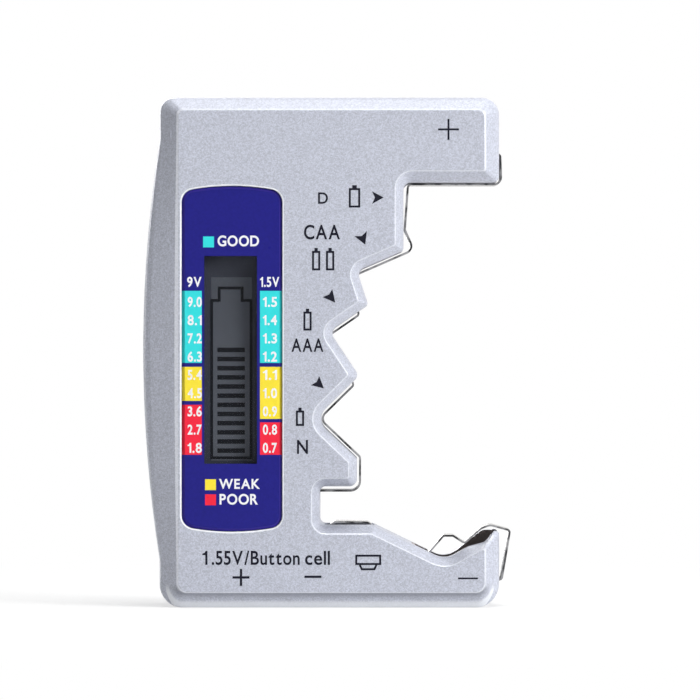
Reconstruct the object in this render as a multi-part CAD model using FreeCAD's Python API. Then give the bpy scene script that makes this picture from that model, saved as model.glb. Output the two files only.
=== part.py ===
import FreeCAD
import Part
import math
import os

# Handheld battery tester, millimetres. X to the right, Z up, the face looks towards -Y.
# It stands on its flat lower edge, with the parting plane of the two shells at Y = 0.

# Overall size
BODY_HEIGHT = 90.0
BODY_WIDTH = 60.0            # flat of the left side to the ends of the two arms
BODY_DEPTH = 20.0
ARM_END_X = 30.4             # right end of both arms
GRIP_BOW = 2.9               # how far the left side bows out
GRIP_FLAT_TOP = 7.6          # straight stretch of the left side above the bow
GRIP_FLAT_BOTTOM = 8.4
WALL = 2.0

# Corner radii of the outline
TOP_LEFT_R = 2.6
TOP_RIGHT_R = 3.1
BOTTOM_LEFT_R = 4.0
BOTTOM_RIGHT_R = 4.1
FACE_ROUND = 0.4             # least share of a corner's radius that the raised face keeps

# Widths of the bevelled border round the front face, and its profile
TOP_BEVEL = 2.4
END_BEVEL = 2.7
BASE_BEVEL = 2.85
GRIP_BEVEL = 3.5
NOTCH_BEVEL = 1.6
UNDERSIDE_BEVEL = 2.1
FINEST_R = 0.15              # sharp corners of the raised face under the horn
SEAM = 0.12                  # groove all round where the two shells meet
FRONT_PROFILE = [(4.0, 0.0), (3.1, 0.06), (2.4, 0.20), (0.16, 0.88), (0.0, 1.0)]
REAR_PROFILE = [(2.6, 0.0), (1.7, 0.08), (0.16, 0.52), (0.0, 0.60)]

# Seats of the notch: reach from the seat to where the cell meets the negative spring,
# lean from upright, and how far the seat runs to the outer and inner side of the cell's axis
D_ARM_HEIGHT = 15.0          # height of the top arm, whose underside stops the D cell
D_WALL_X = 13.5
LONG_AIM = (27.8, 14.1)      # where C, AA and AAA cells meet the negative spring
CAA_REACH = 50.5
CAA_LEAN = 23.5
CAA_INNER = 2.55
AAA_REACH = 44.0
AAA_LEAN = 34.5
AAA_OUTER = 5.35
AAA_INNER = 2.95
N_AIM = (23.4, 14.8)         # where the N cell's flat end lies over the spring
N_REACH = 31.0
N_LEAN = 44.5
N_OUTER = 5.6
N_INNER = 5.26
N_RETURN_LEAN = 43.5         # slope of the face under the N seat
BLOCK_X = 5.3                # end of the block between the N seat and the button slot
LEDGE_Z = 14.5               # floor of the button-cell slot
SLOT_TOP_Z = 21.3
SLOT_X = -1.25
LEDGE_END_X = 8.1
SLOPE_FOOT = (20.8, 8.35)
HORN_TIP_Z = 13.4            # tip of the lower arm that the spring arches over
HORN_TIP_W = 0.9
HORN_BEND = (24.9, 10.65)    # on the front shell the slope to the horn is scooped out from here
SCOOP_FOOT = (28.0, 11.5)
HORN_FACE_Z = 10.15          # raised face's corner under the horn, on the front shell
HORN_BACK_Z = 10.85          # and on the rear shell
HORN_FACE_STEP = 0.35        # cut across that corner
GUARD_FOOT = (22.4, 9.1)     # fin of the rear cheek that backs the spring
GUARD_CREST = (27.6, 13.3)
GUARD_R = 2.0
GUARD_THICK = 2.0

# Roundings of the notch's corners
NOSE_R = 0.75                # corners that stand out between the seats
N_NOSE_R = 1.2
CROOK_R = 1.35               # corners that turn in
N_CROOK_R = 2.4
SLOT_R = 1.0
BLOCK_R = 1.4
ARM_TIP_R = 1.1
VALLEY_R = 3.6
HORN_BEND_R = 5.0
HORN_R = 0.6
HORN_EDGE_R = 0.3
SCOOP_R = 2.0
SCOOP_FACE_R = 1.5           # the scoop's rounding where it reaches the raised face

# Contact strip and springs
STRIP_THICK = 0.35
STRIP_WIDE = 8.0
STRIP_GAP = 0.35             # air between strip and plastic at the seats
STRIP_FLUSH = 0.1            # and where it lies on the top arm and the D wall
STRIP_HIDE = 1.2             # how deep the strip goes behind a wall
STRIP_TOP = 9.9              # below the top edge, where the strip leaves the arm
STRIP_FLARE = 0.45           # middle line's stand-off at the lower corner of the arm's end
STRIP_LEAN = 0.85            # and at the top of the D wall
STRIP_CREASE = 3.75          # above the D wall's foot, where the strip swings out to its nub
NUB_ALONG = 8.15             # unrounded tip of the nub, along the seat from the C and AA axis
NUB_R = 1.3
STRIP_BEND_R = 0.6
STRIP_CORNER_R = 1.3
STRIP_DROP = 0.3             # the strip hangs this much lower under the block
STRIP_DROP_R = 1.7
SLOT_CLEAR = 0.06            # strip in its moulded grooves
LEAF_CLEAR = 0.3             # moving leaves in their wells
CURL_BORE_R = 1.0
PIN_CLEAR = 0.05
SHOULDER_R = 2.0
SPRING_POST = (14.9, 4.1)
SPRING_CURL = 210.0
SPRING_HUMP = (20.6, 12.5)   # start of the flat hump
SPRING_HUMP_W = 1.7
SPRING_VALLEY = (24.3, 11.2)
SPRING_RISE = (27.3, 13.85)  # where the spring's crest starts, over the horn
SPRING_CREST = (28.9, 14.4)
SPRING_CREST_R = 1.6
SPRING_OUTER = 2.164         # reach of the spring past the arm's end
SPRING_LEG_Z = 13.45         # top of the outer leg
SPRING_TUCK = 0.55           # leg's foot, out from the arm's end
SPRING_TUCK_Z = 4.9
SPRING_TAIL_IN = 1.7         # end of the leg inside the arm
SPRING_TAIL_Z = 4.0
BEND_R = 0.5                 # tight bends of the leaves
BUTTON_POST = (6.7, 10.7)
BUTTON_CURL = 200.0
BUTTON_REST = 0.35           # leaf's rest height over the ledge
BUTTON_POCKET = 0.95
BUTTON_CREST_X = 2.6         # right of the slot's end, where the leaf turns down to its tip
BUTTON_TIP_X = 1.9
BUTTON_ARCH = 0.1
BUTTON_DIP = 0.35
BUTTON_WELL_X = 0.8          # well of the leaf, right of the slot's end
BUTTON_SLOT_IN = 1.1         # slot through the ledge for the leaf's upright
TAIL_LAP = 1.9               # strip's solder tail over the board
TAIL_NECK = 0.4              # past the slot's wall, where the tail narrows
WELL_FROM_POST = 0.7         # spring's well starts this far right of its pin
END_WALL_TOP = 11.0          # arm's end wall, lowered under the spring
LEG_SLOT_TOP = 5.8           # slot in the end wall for the spring's leg

# Display: overlay in a recess, LCD behind its window
DISPLAY_MARGIN = 0.4         # from the left edge of the raised face
DISPLAY_Z = 43.85
DISPLAY_W = 17.9
DISPLAY_H = 61.1             # crown to crown
DISPLAY_RISE = 1.58          # slope of the crowned ends, corner to middle
DISPLAY_CROWN_R = 40.0
DISPLAY_CORNER_R = 2.4
POCKET_EDGE = 0.2            # broken edge of the recess
OVERLAY_THICK = 1.2
OVERLAY_SUNK = 0.25
OVERLAY_CLEAR = 0.15
OVERLAY_EDGE = 0.5
WINDOW_W = 9.9
WINDOW_H = 37.2
WINDOW_SHIFT = -0.2          # window centre, left of the overlay's centre
BED_THICK = 1.55             # wall left under the overlay
BED_MARGIN = 1.4
LCD_W = 14.8
LCD_H = 44.8
LCD_GLASS = 1.1
LCD_LEDGE = 2.0              # front glass overhangs the rear one for the rubber strips
LCD_STACK = 5.0              # front of LCD to front of board
LCD_CLEAR = 0.2
HOLDER_WALL = 1.0
ZEBRA_W = 1.5

# Circuit board and what stands on it
BOARD_THICK = 1.6
BOARD_H = 62.4
BOARD_GAP = 0.4
BOARD_SLOT_GAP = 1.4
BOARD_SCREW_IN = 2.3         # from the board's sides
BOARD_SCREW_OFF = 5.3        # from the ends of the LCD's holder
POST_R = 1.8
BOARD_PILOT_R = 0.75
BOARD_SHANK_R = 0.7
BOARD_HEAD_R = 1.5
BOARD_HEAD_H = 0.9
BOARD_SCREW_L = 4.5
CHIP_R = 5.0
CHIP_H = 1.7
CAPACITOR_R = 2.5
CAPACITOR_H = 4.6
INDUCTOR_R = 3.1
INDUCTOR_H = 3.8
LEAD_R = 0.35
LEAD_OUT = 1.5               # resistor's lead before its bend
COIL_OFF = (-4.6, 15.0)      # from the middle of the display
CAN_OFF = (4.6, 15.0)
LOW_LOAD = (-11.0, 1.7, 9.0)     # resistor's height from the display's middle, radius, length
HIGH_LOAD = (-17.0, 1.2, 6.4)

# 9 V terminals in the lower edge
SNAP_PITCH = 12.7
SNAP_MIDDLE_X = -8.8
SNAP_WINDOW = 9.2
SNAP_PLATE = 11.4
SNAP_PLATE_THICK = 0.4
RIB_H = 1.2
RIB_GAP = 0.05

# Housing screws and their bosses
SCREW_IN = 4.4
SCREW_FROM_TOP = 6.6
SCREW_FROM_BASE = 7.2
ARM_SCREW_IN = 6.6
LOWER_SCREW = (10.6, 7.9)
BOSS_FRONT_R = 2.4
BOSS_REAR_R = 3.1
SCREW_SHANK_R = 1.1
SCREW_PILOT_R = 1.15
SCREW_HOLE_R = 1.4
SCREW_HEAD_R = 2.1
SCREW_HEAD_H = 1.6
SCREW_SINK_R = 2.45
SCREW_SEAT = 5.0             # depth of the head's seat below the back
SCREW_L = 9.5
CROSS_W = 0.55
CROSS_L = 2.4

# Tongue of the rear shell in the rebate of the front shell
TONGUE_IN = 1.1
TONGUE_L = 1.0
TONGUE_CLEAR = 0.1

# Leads: pad on the board (x, z), how far off the board's face the lead comes over its pad,
# negative in front, and the bends on the way as steps from the lead's start
WIRE_R = 0.55
SOLDER_GAP = 0.1             # lead's end to the round back of a moving curl
NEGATIVE_PAD = (-8.4, 17.6)
NEGATIVE_OFF = 5.0
NEGATIVE_BENDS = [(-10.45, 0.5, 0.0), (-18.05, 4.4, 3.85)]
BUTTON_PAD = (-10.6, 14.4)
BUTTON_OFF = 3.2
BUTTON_BENDS = [(-4.25, 0.2, -0.4), (-9.65, 2.0, 0.4)]
SNAP_POSITIVE_START = (0.0, 2.6)     # on the plate, from its middle
SNAP_POSITIVE_PAD = (-15.95, 15.0)
SNAP_POSITIVE_OFF = 3.4
SNAP_POSITIVE_RISE = 5.0             # straight rise from the plate
SNAP_NEGATIVE_START = (-2.6, -3.0)
SNAP_NEGATIVE_PAD = (-11.4, 14.4)
SNAP_NEGATIVE_OFF = -3.4
SNAP_NEGATIVE_RISE = 4.2

# Limits of the outline's working
NEARLY_STRAIGHT = 0.2        # sine of a turn too slight for its edges' crossing point
SAME_POINT = 1e-6

# Places worked out from the sizes above
LEFT_X = ARM_END_X - BODY_WIDTH
FRONT_Y = -BODY_DEPTH / 2
REAR_Y = BODY_DEPTH / 2
ARM_UNDER_Z = BODY_HEIGHT - D_ARM_HEIGHT
STRIP_MID = STRIP_GAP + STRIP_THICK / 2
CURL_R = CURL_BORE_R + STRIP_THICK / 2
CURL_OUTER_R = CURL_BORE_R + STRIP_THICK
WELL_HALF = STRIP_WIDE / 2 + LEAF_CLEAR
DISPLAY_X = LEFT_X + GRIP_BEVEL + DISPLAY_MARGIN + DISPLAY_W / 2
WINDOW_X = DISPLAY_X + WINDOW_SHIFT
OVERLAY_Y = FRONT_Y + OVERLAY_SUNK
POCKET_Y = OVERLAY_Y + OVERLAY_THICK
LCD_Y = POCKET_Y + BED_THICK
BOARD_Y = LCD_Y + LCD_STACK
BOARD_BACK_Y = BOARD_Y + BOARD_THICK
BOARD_LEFT = LEFT_X + WALL + BOARD_GAP
BOARD_RIGHT = SLOT_X - WALL - BOARD_SLOT_GAP
BOARD_LOW = DISPLAY_Z - BOARD_H / 2
BOARD_HIGH = DISPLAY_Z + BOARD_H / 2
FLOOR_Y = FRONT_Y + WALL
ROOF_Y = REAR_Y - WALL
SEAT_Y = REAR_Y - SCREW_SEAT
SNAP_X = (SNAP_MIDDLE_X - SNAP_PITCH / 2, SNAP_MIDDLE_X + SNAP_PITCH / 2)
HOUSING_SCREWS = [
    (LEFT_X + SCREW_IN, BODY_HEIGHT - SCREW_FROM_TOP),
    (ARM_END_X - ARM_SCREW_IN, BODY_HEIGHT - SCREW_FROM_TOP),
    (LEFT_X + SCREW_IN, SCREW_FROM_BASE),
    LOWER_SCREW,
]
HOLDER_HALF_W = LCD_W / 2 + LCD_CLEAR + HOLDER_WALL
HOLDER_HALF_H = LCD_H / 2 + LCD_CLEAR + HOLDER_WALL
BOARD_SCREWS = [
    (x, DISPLAY_Z + side * (HOLDER_HALF_H + BOARD_SCREW_OFF))
    for x in (BOARD_LEFT + BOARD_SCREW_IN, BOARD_RIGHT - BOARD_SCREW_IN)
    for side in (-1, 1)
]


def vec(x, y, z):
    return FreeCAD.Vector(x, y, z)


def box(x0, x1, y0, y1, z0, z1):
    return Part.makeBox(x1 - x0, y1 - y0, z1 - z0, vec(x0, y0, z0))


def rod(x, z, y0, y1, radius):
    """Round bar along Y, from y0 to y1."""
    return Part.makeCylinder(radius, y1 - y0, vec(x, y0, z), vec(0, 1, 0))


class Corner:
    """Corner of a closed outline in the XZ plane.

    inset is the bevel width of the edge that leaves this corner, bow how far that edge
    arches outwards, and face, where given, the corner's (x, z, radius) on the raised face.
    """

    def __init__(self, x, z, radius=0.0, inset=0.0, bow=0.0, face=None):
        self.x = x
        self.z = z
        self.radius = radius
        self.inset = inset
        self.bow = bow
        self.face = face


def unit(ax, az, bx, bz):
    length = math.hypot(bx - ax, bz - az)
    return (bx - ax) / length, (bz - az) / length


def turn_at(before, here, after):
    """Signed turn from the edge into a corner to the edge out of it, in radians."""
    ix, iz = unit(before.x, before.z, here.x, here.z)
    ox, oz = unit(here.x, here.z, after.x, after.z)
    return math.atan2(ix * oz - iz * ox, ix * ox + iz * oz)


def shifted_point(before, here, after, shift_in, shift_out):
    """Corner after its two edges move to their left by shift_in and shift_out."""
    ix, iz = unit(before.x, before.z, here.x, here.z)
    ox, oz = unit(here.x, here.z, after.x, after.z)
    cross = ix * oz - iz * ox
    if abs(cross) < NEARLY_STRAIGHT:
        shift = (shift_in + shift_out) / 2
        return here.x - (iz + oz) / 2 * shift, here.z + (ix + ox) / 2 * shift
    ax, az = here.x - iz * shift_in, here.z + ix * shift_in
    bx, bz = here.x - oz * shift_out, here.z + ox * shift_out
    along = ((bx - ax) * oz - (bz - az) * ox) / cross
    return ax + ix * along, az + iz * along


def neighbours(corners):
    count = len(corners)
    return [(corners[i - 1], corners[i], corners[(i + 1) % count]) for i in range(count)]


def inset_outline(corners, share, bowed=False):
    """Outline moved inwards by a share of each edge's own bevel width.

    Bows flatten by the same share, unless bowed keeps them.
    """
    moved = []
    for before, here, after in neighbours(corners):
        x, z = shifted_point(before, here, after, before.inset * share, here.inset * share)
        radius = here.radius
        if here.face:
            x, z, radius = (
                edge + (face - edge) * share
                for edge, face in zip((here.x, here.z, here.radius), here.face)
            )
        elif radius:
            step = share * (before.inset + here.inset) / 2
            inward = turn_at(before, here, after) < 0
            radius = radius + step if inward else max(radius - step, FACE_ROUND * radius)
        bow = here.bow if bowed else here.bow * (1 - share)
        moved.append(Corner(x, z, radius, here.inset, bow))
    return moved


def spread_outline(corners, distance):
    """Outline moved inwards by the same distance all round."""
    even = [Corner(c.x, c.z, c.radius, distance, c.bow) for c in corners]
    return inset_outline(even, 1.0, bowed=True)


def rounding(before, here, after):
    """Start, middle and end of the arc that rounds a corner."""
    turn = turn_at(before, here, after)
    ix, iz = unit(before.x, before.z, here.x, here.z)
    ox, oz = unit(here.x, here.z, after.x, after.z)
    reach = here.radius * math.tan(abs(turn) / 2)
    start = (here.x - ix * reach, here.z - iz * reach)
    end = (here.x + ox * reach, here.z + oz * reach)
    side = math.copysign(here.radius, turn)
    centre = (start[0] - iz * side, start[1] + ix * side)
    mx, mz = unit(centre[0], centre[1], here.x, here.z)
    middle = (centre[0] + mx * here.radius, centre[1] + mz * here.radius)
    return start, middle, end


def outline_wire(corners, y):
    """Closed wire of lines and arcs through rounded corners, at depth y."""
    arcs = []
    for before, here, after in neighbours(corners):
        if here.radius:
            arcs.append(rounding(before, here, after))
        else:
            arcs.append(((here.x, here.z),) * 3)
    edges = []
    for i, (start, middle, end) in enumerate(arcs):
        if corners[i].radius:
            points = [vec(x, y, z) for x, z in (start, middle, end)]
            edges.append(Part.Arc(*points).toShape())
        after = arcs[(i + 1) % len(arcs)][0]
        a, b = vec(end[0], y, end[1]), vec(after[0], y, after[1])
        if corners[i].bow:
            tx, tz = unit(end[0], end[1], after[0], after[1])
            crown = (a + b) * 0.5 + vec(tz, 0, -tx) * corners[i].bow
            edges.append(Part.Arc(a, crown, b).toShape())
        else:
            edges.append(Part.LineSegment(a, b).toShape())
    return Part.Wire(edges)


def prism(wire, y0, y1):
    """Solid from a closed wire at depth y0, drawn out to y1."""
    return Part.Face(wire).extrude(vec(0, y1 - y0, 0))


def ring(outer, inner, y0, y1):
    return prism(outer, y0, y1).cut(prism(inner, y0, y1))


def seat_frame(aim, reach, lean):
    """Middle of a cell's seat, direction outwards along it, and direction to the spring."""
    a = math.radians(lean)
    middle = (aim[0] - reach * math.sin(a), aim[1] + reach * math.cos(a))
    return middle, (math.cos(a), math.sin(a)), (math.sin(a), -math.cos(a))


def seat_point(frame, along, out=0.0):
    (mx, mz), (tx, tz), (nx, nz) = frame
    return mx + tx * along + nx * out, mz + tz * along + nz * out


CAA_SEAT = seat_frame(LONG_AIM, CAA_REACH, CAA_LEAN)
AAA_SEAT = seat_frame(LONG_AIM, AAA_REACH, AAA_LEAN)
N_SEAT = seat_frame(N_AIM, N_REACH, N_LEAN)


def d_corner():
    """Where the D wall meets the line of the C and AA seat."""
    (mx, mz), (tx, tz), _ = CAA_SEAT
    return D_WALL_X, mz + (D_WALL_X - mx) / tx * tz


def n_return_end():
    """Where the face under the N seat meets the end of the block."""
    x, z = seat_point(N_SEAT, -N_INNER)
    return BLOCK_X, z - (BLOCK_X - x) * math.tan(math.radians(N_RETURN_LEAN))


def horn_corners(scooped):
    """Tip of the lower arm: a straight slope, or the front shell's scooped one."""
    face_x = ARM_END_X - END_BEVEL
    face_z = HORN_FACE_Z if scooped else HORN_BACK_Z
    low_z = face_z - HORN_FACE_STEP / 2
    tip_x = ARM_END_X - HORN_TIP_W
    corners = [
        Corner(ARM_END_X, HORN_TIP_Z, HORN_R, NOTCH_BEVEL, face=(face_x, low_z, FINEST_R)),
        Corner(tip_x, HORN_TIP_Z, HORN_EDGE_R, NOTCH_BEVEL,
               face=(face_x - HORN_FACE_STEP / 2, face_z, FINEST_R)),
    ]
    if scooped:
        scoop_face = (face_x - 2 * HORN_FACE_STEP, low_z, SCOOP_FACE_R)
        corners.append(Corner(*SCOOP_FOOT, SCOOP_R, NOTCH_BEVEL, face=scoop_face))
        corners.append(Corner(*HORN_BEND, HORN_BEND_R, NOTCH_BEVEL))
    return corners


def body_outline(scooped=False):
    """Outline of a shell, counter-clockwise from the lower left."""
    notch = NOTCH_BEVEL
    return [
        Corner(LEFT_X, 0.0, BOTTOM_LEFT_R, BASE_BEVEL),
        Corner(ARM_END_X, 0.0, BOTTOM_RIGHT_R, END_BEVEL),
        *horn_corners(scooped),
        Corner(*SLOPE_FOOT, VALLEY_R, notch),
        Corner(LEDGE_END_X, LEDGE_Z, SLOT_R, notch),
        Corner(SLOT_X, LEDGE_Z, SLOT_R, notch),
        Corner(SLOT_X, SLOT_TOP_Z, SLOT_R, notch),
        Corner(BLOCK_X, SLOT_TOP_Z, BLOCK_R, notch),
        Corner(*n_return_end(), NOSE_R, notch),
        Corner(*seat_point(N_SEAT, -N_INNER), N_CROOK_R, notch),
        Corner(*seat_point(N_SEAT, N_OUTER), N_NOSE_R, notch),
        Corner(*seat_point(AAA_SEAT, -AAA_INNER), CROOK_R, notch),
        Corner(*seat_point(AAA_SEAT, AAA_OUTER), NOSE_R, notch),
        Corner(*seat_point(CAA_SEAT, -CAA_INNER), CROOK_R, notch),
        Corner(*d_corner(), NOSE_R, notch),
        Corner(D_WALL_X, ARM_UNDER_Z, CROOK_R, UNDERSIDE_BEVEL),
        Corner(ARM_END_X, ARM_UNDER_Z, ARM_TIP_R, END_BEVEL),
        Corner(ARM_END_X, BODY_HEIGHT, TOP_RIGHT_R, TOP_BEVEL),
        Corner(LEFT_X, BODY_HEIGHT, TOP_LEFT_R, GRIP_BEVEL),
        Corner(LEFT_X, BODY_HEIGHT - GRIP_FLAT_TOP, 0.0, GRIP_BEVEL, GRIP_BOW),
        Corner(LEFT_X, GRIP_FLAT_BOTTOM, 0.0, GRIP_BEVEL),
    ]


def display_outline():
    """Overlay's outline: straight sides and crowned ends."""
    half = DISPLAY_W / 2
    crown = DISPLAY_CROWN_R * (1 / math.cos(math.atan2(DISPLAY_RISE, half)) - 1)
    high = DISPLAY_Z + DISPLAY_H / 2 + crown
    low = DISPLAY_Z - DISPLAY_H / 2 - crown
    return [
        Corner(DISPLAY_X - half, low + DISPLAY_RISE, DISPLAY_CORNER_R),
        Corner(DISPLAY_X, low, DISPLAY_CROWN_R),
        Corner(DISPLAY_X + half, low + DISPLAY_RISE, DISPLAY_CORNER_R),
        Corner(DISPLAY_X + half, high - DISPLAY_RISE, DISPLAY_CORNER_R),
        Corner(DISPLAY_X, high, DISPLAY_CROWN_R),
        Corner(DISPLAY_X - half, high - DISPLAY_RISE, DISPLAY_CORNER_R),
    ]


def bent_strip(path, thick, y0, y1):
    """Sheet-metal strip: a line of (x, z, bend radius), given thickness and width."""
    corners = [Corner(*point) for point in path]
    arcs = [((corners[0].x, corners[0].z),) * 3]
    for before, here, after in zip(corners, corners[1:], corners[2:]):
        arcs.append(rounding(before, here, after))
    arcs.append(((corners[-1].x, corners[-1].z),) * 3)
    heads = [unit(a.x, a.z, b.x, b.z) for a, b in zip(corners, corners[1:])]

    def side(shift):
        """Edges of one face of the strip, shift to the left of its middle line."""
        edges = []
        last = None
        for i, (start, middle, end) in enumerate(arcs):
            into = heads[max(i - 1, 0)]
            out = heads[min(i, len(heads) - 1)]
            mid_x, mid_z = into[0] + out[0], into[1] + out[1]
            size = math.hypot(mid_x, mid_z)
            moved = []
            for (x, z), (tx, tz) in zip(
                (start, middle, end), (into, (mid_x / size, mid_z / size), out)
            ):
                moved.append(vec(x - tz * shift, y0, z + tx * shift))
            if last is not None and last.distanceToPoint(moved[0]) > SAME_POINT:
                edges.append(Part.LineSegment(last, moved[0]).toShape())
            last = moved[0]
            if 0 < i < len(arcs) - 1:
                edges.append(Part.Arc(*moved).toShape())
                last = moved[2]
        return edges

    left, right = side(thick / 2), side(-thick / 2)
    caps = []
    for i in (0, -1):
        a = left[i].Vertexes[i].Point
        b = right[i].Vertexes[i].Point
        caps.append(Part.LineSegment(a, b).toShape())
    wire = Part.Wire(Part.__sortEdges__(left + right + caps))
    return prism(wire, y0, y1)


def curl_path(post, start, turn, steps=3):
    """Corners whose roundings together wrap the pin, from angle start through turn."""
    step = math.radians(turn) / steps
    reach = CURL_R / math.cos(step / 2)
    angles = [math.radians(start) + step * (i + 0.5) for i in range(steps)]
    return [(post[0] + reach * math.cos(a), post[1] + reach * math.sin(a), CURL_R) for a in angles]


def on_curl(post, angle):
    a = math.radians(angle)
    return post[0] + CURL_R * math.cos(a), post[1] + CURL_R * math.sin(a), 0.0


def positive_path():
    """Middle line of the long contact strip, from inside the top arm to its solder tail."""
    corners = body_outline()
    around = neighbours(corners)

    def beside(x, z):
        """Outline corner at x, z, moved out to the strip's stand-off."""
        before, here, after = min(around, key=lambda n: math.hypot(n[1].x - x, n[1].z - z))
        return shifted_point(before, here, after, -STRIP_MID, -STRIP_MID)

    leave_z = BODY_HEIGHT - STRIP_TOP
    flush = STRIP_FLUSH + STRIP_THICK / 2
    crease_z = d_corner()[1] + STRIP_CREASE
    under_z = SLOT_TOP_Z - STRIP_MID - STRIP_DROP
    return [
        (ARM_END_X - WALL - STRIP_HIDE, leave_z, 0.0),
        (ARM_END_X + flush, leave_z, STRIP_BEND_R),
        (ARM_END_X + STRIP_FLARE, ARM_UNDER_Z - flush, STRIP_CORNER_R),
        (D_WALL_X + STRIP_LEAN, ARM_UNDER_Z - flush, STRIP_BEND_R),
        (D_WALL_X + flush, crease_z, STRIP_BEND_R),
        (*seat_point(CAA_SEAT, NUB_ALONG, STRIP_MID), NUB_R),
        (*seat_point(CAA_SEAT, -CAA_INNER - STRIP_HIDE, STRIP_MID), STRIP_BEND_R),
        (*seat_point(AAA_SEAT, AAA_OUTER - 2 * STRIP_HIDE, STRIP_MID), STRIP_BEND_R),
        (*seat_point(AAA_SEAT, -AAA_INNER - STRIP_HIDE, STRIP_MID), STRIP_BEND_R),
        (*seat_point(N_SEAT, N_OUTER - 1.5 * STRIP_HIDE, STRIP_MID), STRIP_BEND_R),
        (*beside(*seat_point(N_SEAT, -N_INNER)), STRIP_CORNER_R),
        (*beside(*n_return_end()), STRIP_BEND_R),
        (BLOCK_X + STRIP_MID, under_z, STRIP_DROP_R),
        (BOARD_RIGHT - TAIL_LAP, under_z, 0.0),
    ]


def spring_path():
    """Middle line of the negative spring: curl on its pin, hump, valley, crest, outer leg."""
    dx, dz = SPRING_HUMP[0] - SPRING_POST[0], SPRING_HUMP[1] - SPRING_POST[1]
    leave = math.degrees(math.atan2(dz, dx) + math.acos(CURL_R / math.hypot(dx, dz)))
    curl = curl_path(SPRING_POST, leave, SPRING_CURL)
    outer = ARM_END_X + SPRING_OUTER - STRIP_THICK / 2
    return [
        on_curl(SPRING_POST, leave + SPRING_CURL),
        *reversed(curl),
        (*SPRING_HUMP, BEND_R),
        (SPRING_HUMP[0] + SPRING_HUMP_W, SPRING_HUMP[1], BEND_R),
        (*SPRING_VALLEY, BEND_R),
        (*SPRING_RISE, SPRING_CREST_R),
        (*SPRING_CREST, SPRING_CREST_R),
        (outer, SPRING_LEG_Z, BEND_R),
        (ARM_END_X + SPRING_TUCK, SPRING_TUCK_Z, BEND_R),
        (ARM_END_X - SPRING_TAIL_IN, SPRING_TAIL_Z, 0.0),
    ]


def button_path():
    """Middle line of the button-cell leaf: curl on its pin, upright, leaf, turned-down tip."""
    top = LEDGE_Z + BUTTON_REST
    curl = curl_path(BUTTON_POST, 0.0, -BUTTON_CURL)
    return [
        on_curl(BUTTON_POST, -BUTTON_CURL),
        *reversed(curl),
        (BUTTON_POST[0] + CURL_R, top, 2 * BEND_R),
        (SLOT_X + BUTTON_CREST_X, top + BUTTON_ARCH, 2 * BEND_R),
        (SLOT_X + BUTTON_TIP_X, top - BUTTON_DIP, 0.0),
    ]


def strip_grooves():
    """Room for the contact strip in the walls it passes through."""
    half = STRIP_WIDE / 2 + SLOT_CLEAR
    return bent_strip(positive_path(), STRIP_THICK + 2 * SLOT_CLEAR, -half, half)


def leaf_wells():
    """Openings in the lower arm and the ledge that the two moving leaves work in."""
    y0, y1 = -WELL_HALF, WELL_HALF
    arm_inside = ARM_END_X - WALL
    arm_outside = ARM_END_X + WALL
    above = HORN_TIP_Z + WALL
    ledge_end = LEDGE_END_X + LEAF_CLEAR
    return [
        box(SPRING_POST[0] + WELL_FROM_POST, arm_inside, y0, y1, WALL, above),
        box(arm_inside, arm_outside, y0, y1, END_WALL_TOP, above),
        box(arm_inside - LEAF_CLEAR, arm_outside, y0, y1, WALL + LEAF_CLEAR, LEG_SLOT_TOP),
        box(SLOT_X + BUTTON_WELL_X, ledge_end, y0, y1, LEDGE_Z - BUTTON_POCKET, LEDGE_Z + WALL),
        box(LEDGE_END_X - BUTTON_SLOT_IN, ledge_end, y0, y1, LEDGE_Z - 2 * WALL, LEDGE_Z),
    ]


def snap_windows():
    half = SNAP_WINDOW / 2
    return [box(x - half, x + half, -half, half, -WALL, WALL) for x in SNAP_X]


def inset_wire(distance):
    """Shell's outline at the parting plane, moved inwards."""
    return outline_wire(body_outline(), 0.0).makeOffset2D(-distance)


def lofted_shell(outline, profile, face_y):
    """Shell's outside: the outline drawn from the seam's groove, then bevelled to its face."""
    away = math.copysign(1, face_y)
    wires = [outline_wire(spread_outline(outline, SEAM), 0.0), outline_wire(outline, away * SEAM)]
    for depth, share in profile:
        wires.append(outline_wire(inset_outline(outline, share), face_y - away * depth))
    return Part.makeLoft(wires, True, True)


def spring_guard():
    """Fin on the rear cheek, behind the rise of the spring."""
    end_x = ARM_END_X - HORN_TIP_W / 2
    top_z = GUARD_CREST[1]
    corners = [
        Corner(*GUARD_FOOT),
        Corner(end_x, top_z - HORN_TIP_W),
        Corner(end_x, top_z),
        Corner(*GUARD_CREST, GUARD_R),
    ]
    return prism(outline_wire(corners, WELL_HALF), WELL_HALF, WELL_HALF + GUARD_THICK)


def display_pocket():
    """Recess for the overlay, its edge broken all round."""
    outline = display_outline()
    wide = spread_outline(outline, -2 * POCKET_EDGE)
    rim = Part.makeLoft([outline_wire(wide, FRONT_Y - POCKET_EDGE),
                         outline_wire(outline, FRONT_Y + POCKET_EDGE)], True, True)
    return [prism(outline_wire(outline, FRONT_Y), FRONT_Y, POCKET_Y), rim]


def plate_seats():
    """Room for the 9 V plates in the lower edge's hollow, with a gap round them."""
    half = SNAP_PLATE / 2 + RIB_GAP
    high = WALL + SNAP_PLATE_THICK + RIB_GAP
    return [box(x - half, x + half, -half, half, WALL, high) for x in SNAP_X]


def plate_ribs(y0, y1):
    """Ribs that hold the 9 V plates down on the lower wall."""
    low = WALL + SNAP_PLATE_THICK + RIB_GAP
    half = SNAP_PLATE / 2
    return [box(x - half, x + half, y0, y1, low, low + RIB_H) for x in SNAP_X]


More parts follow.
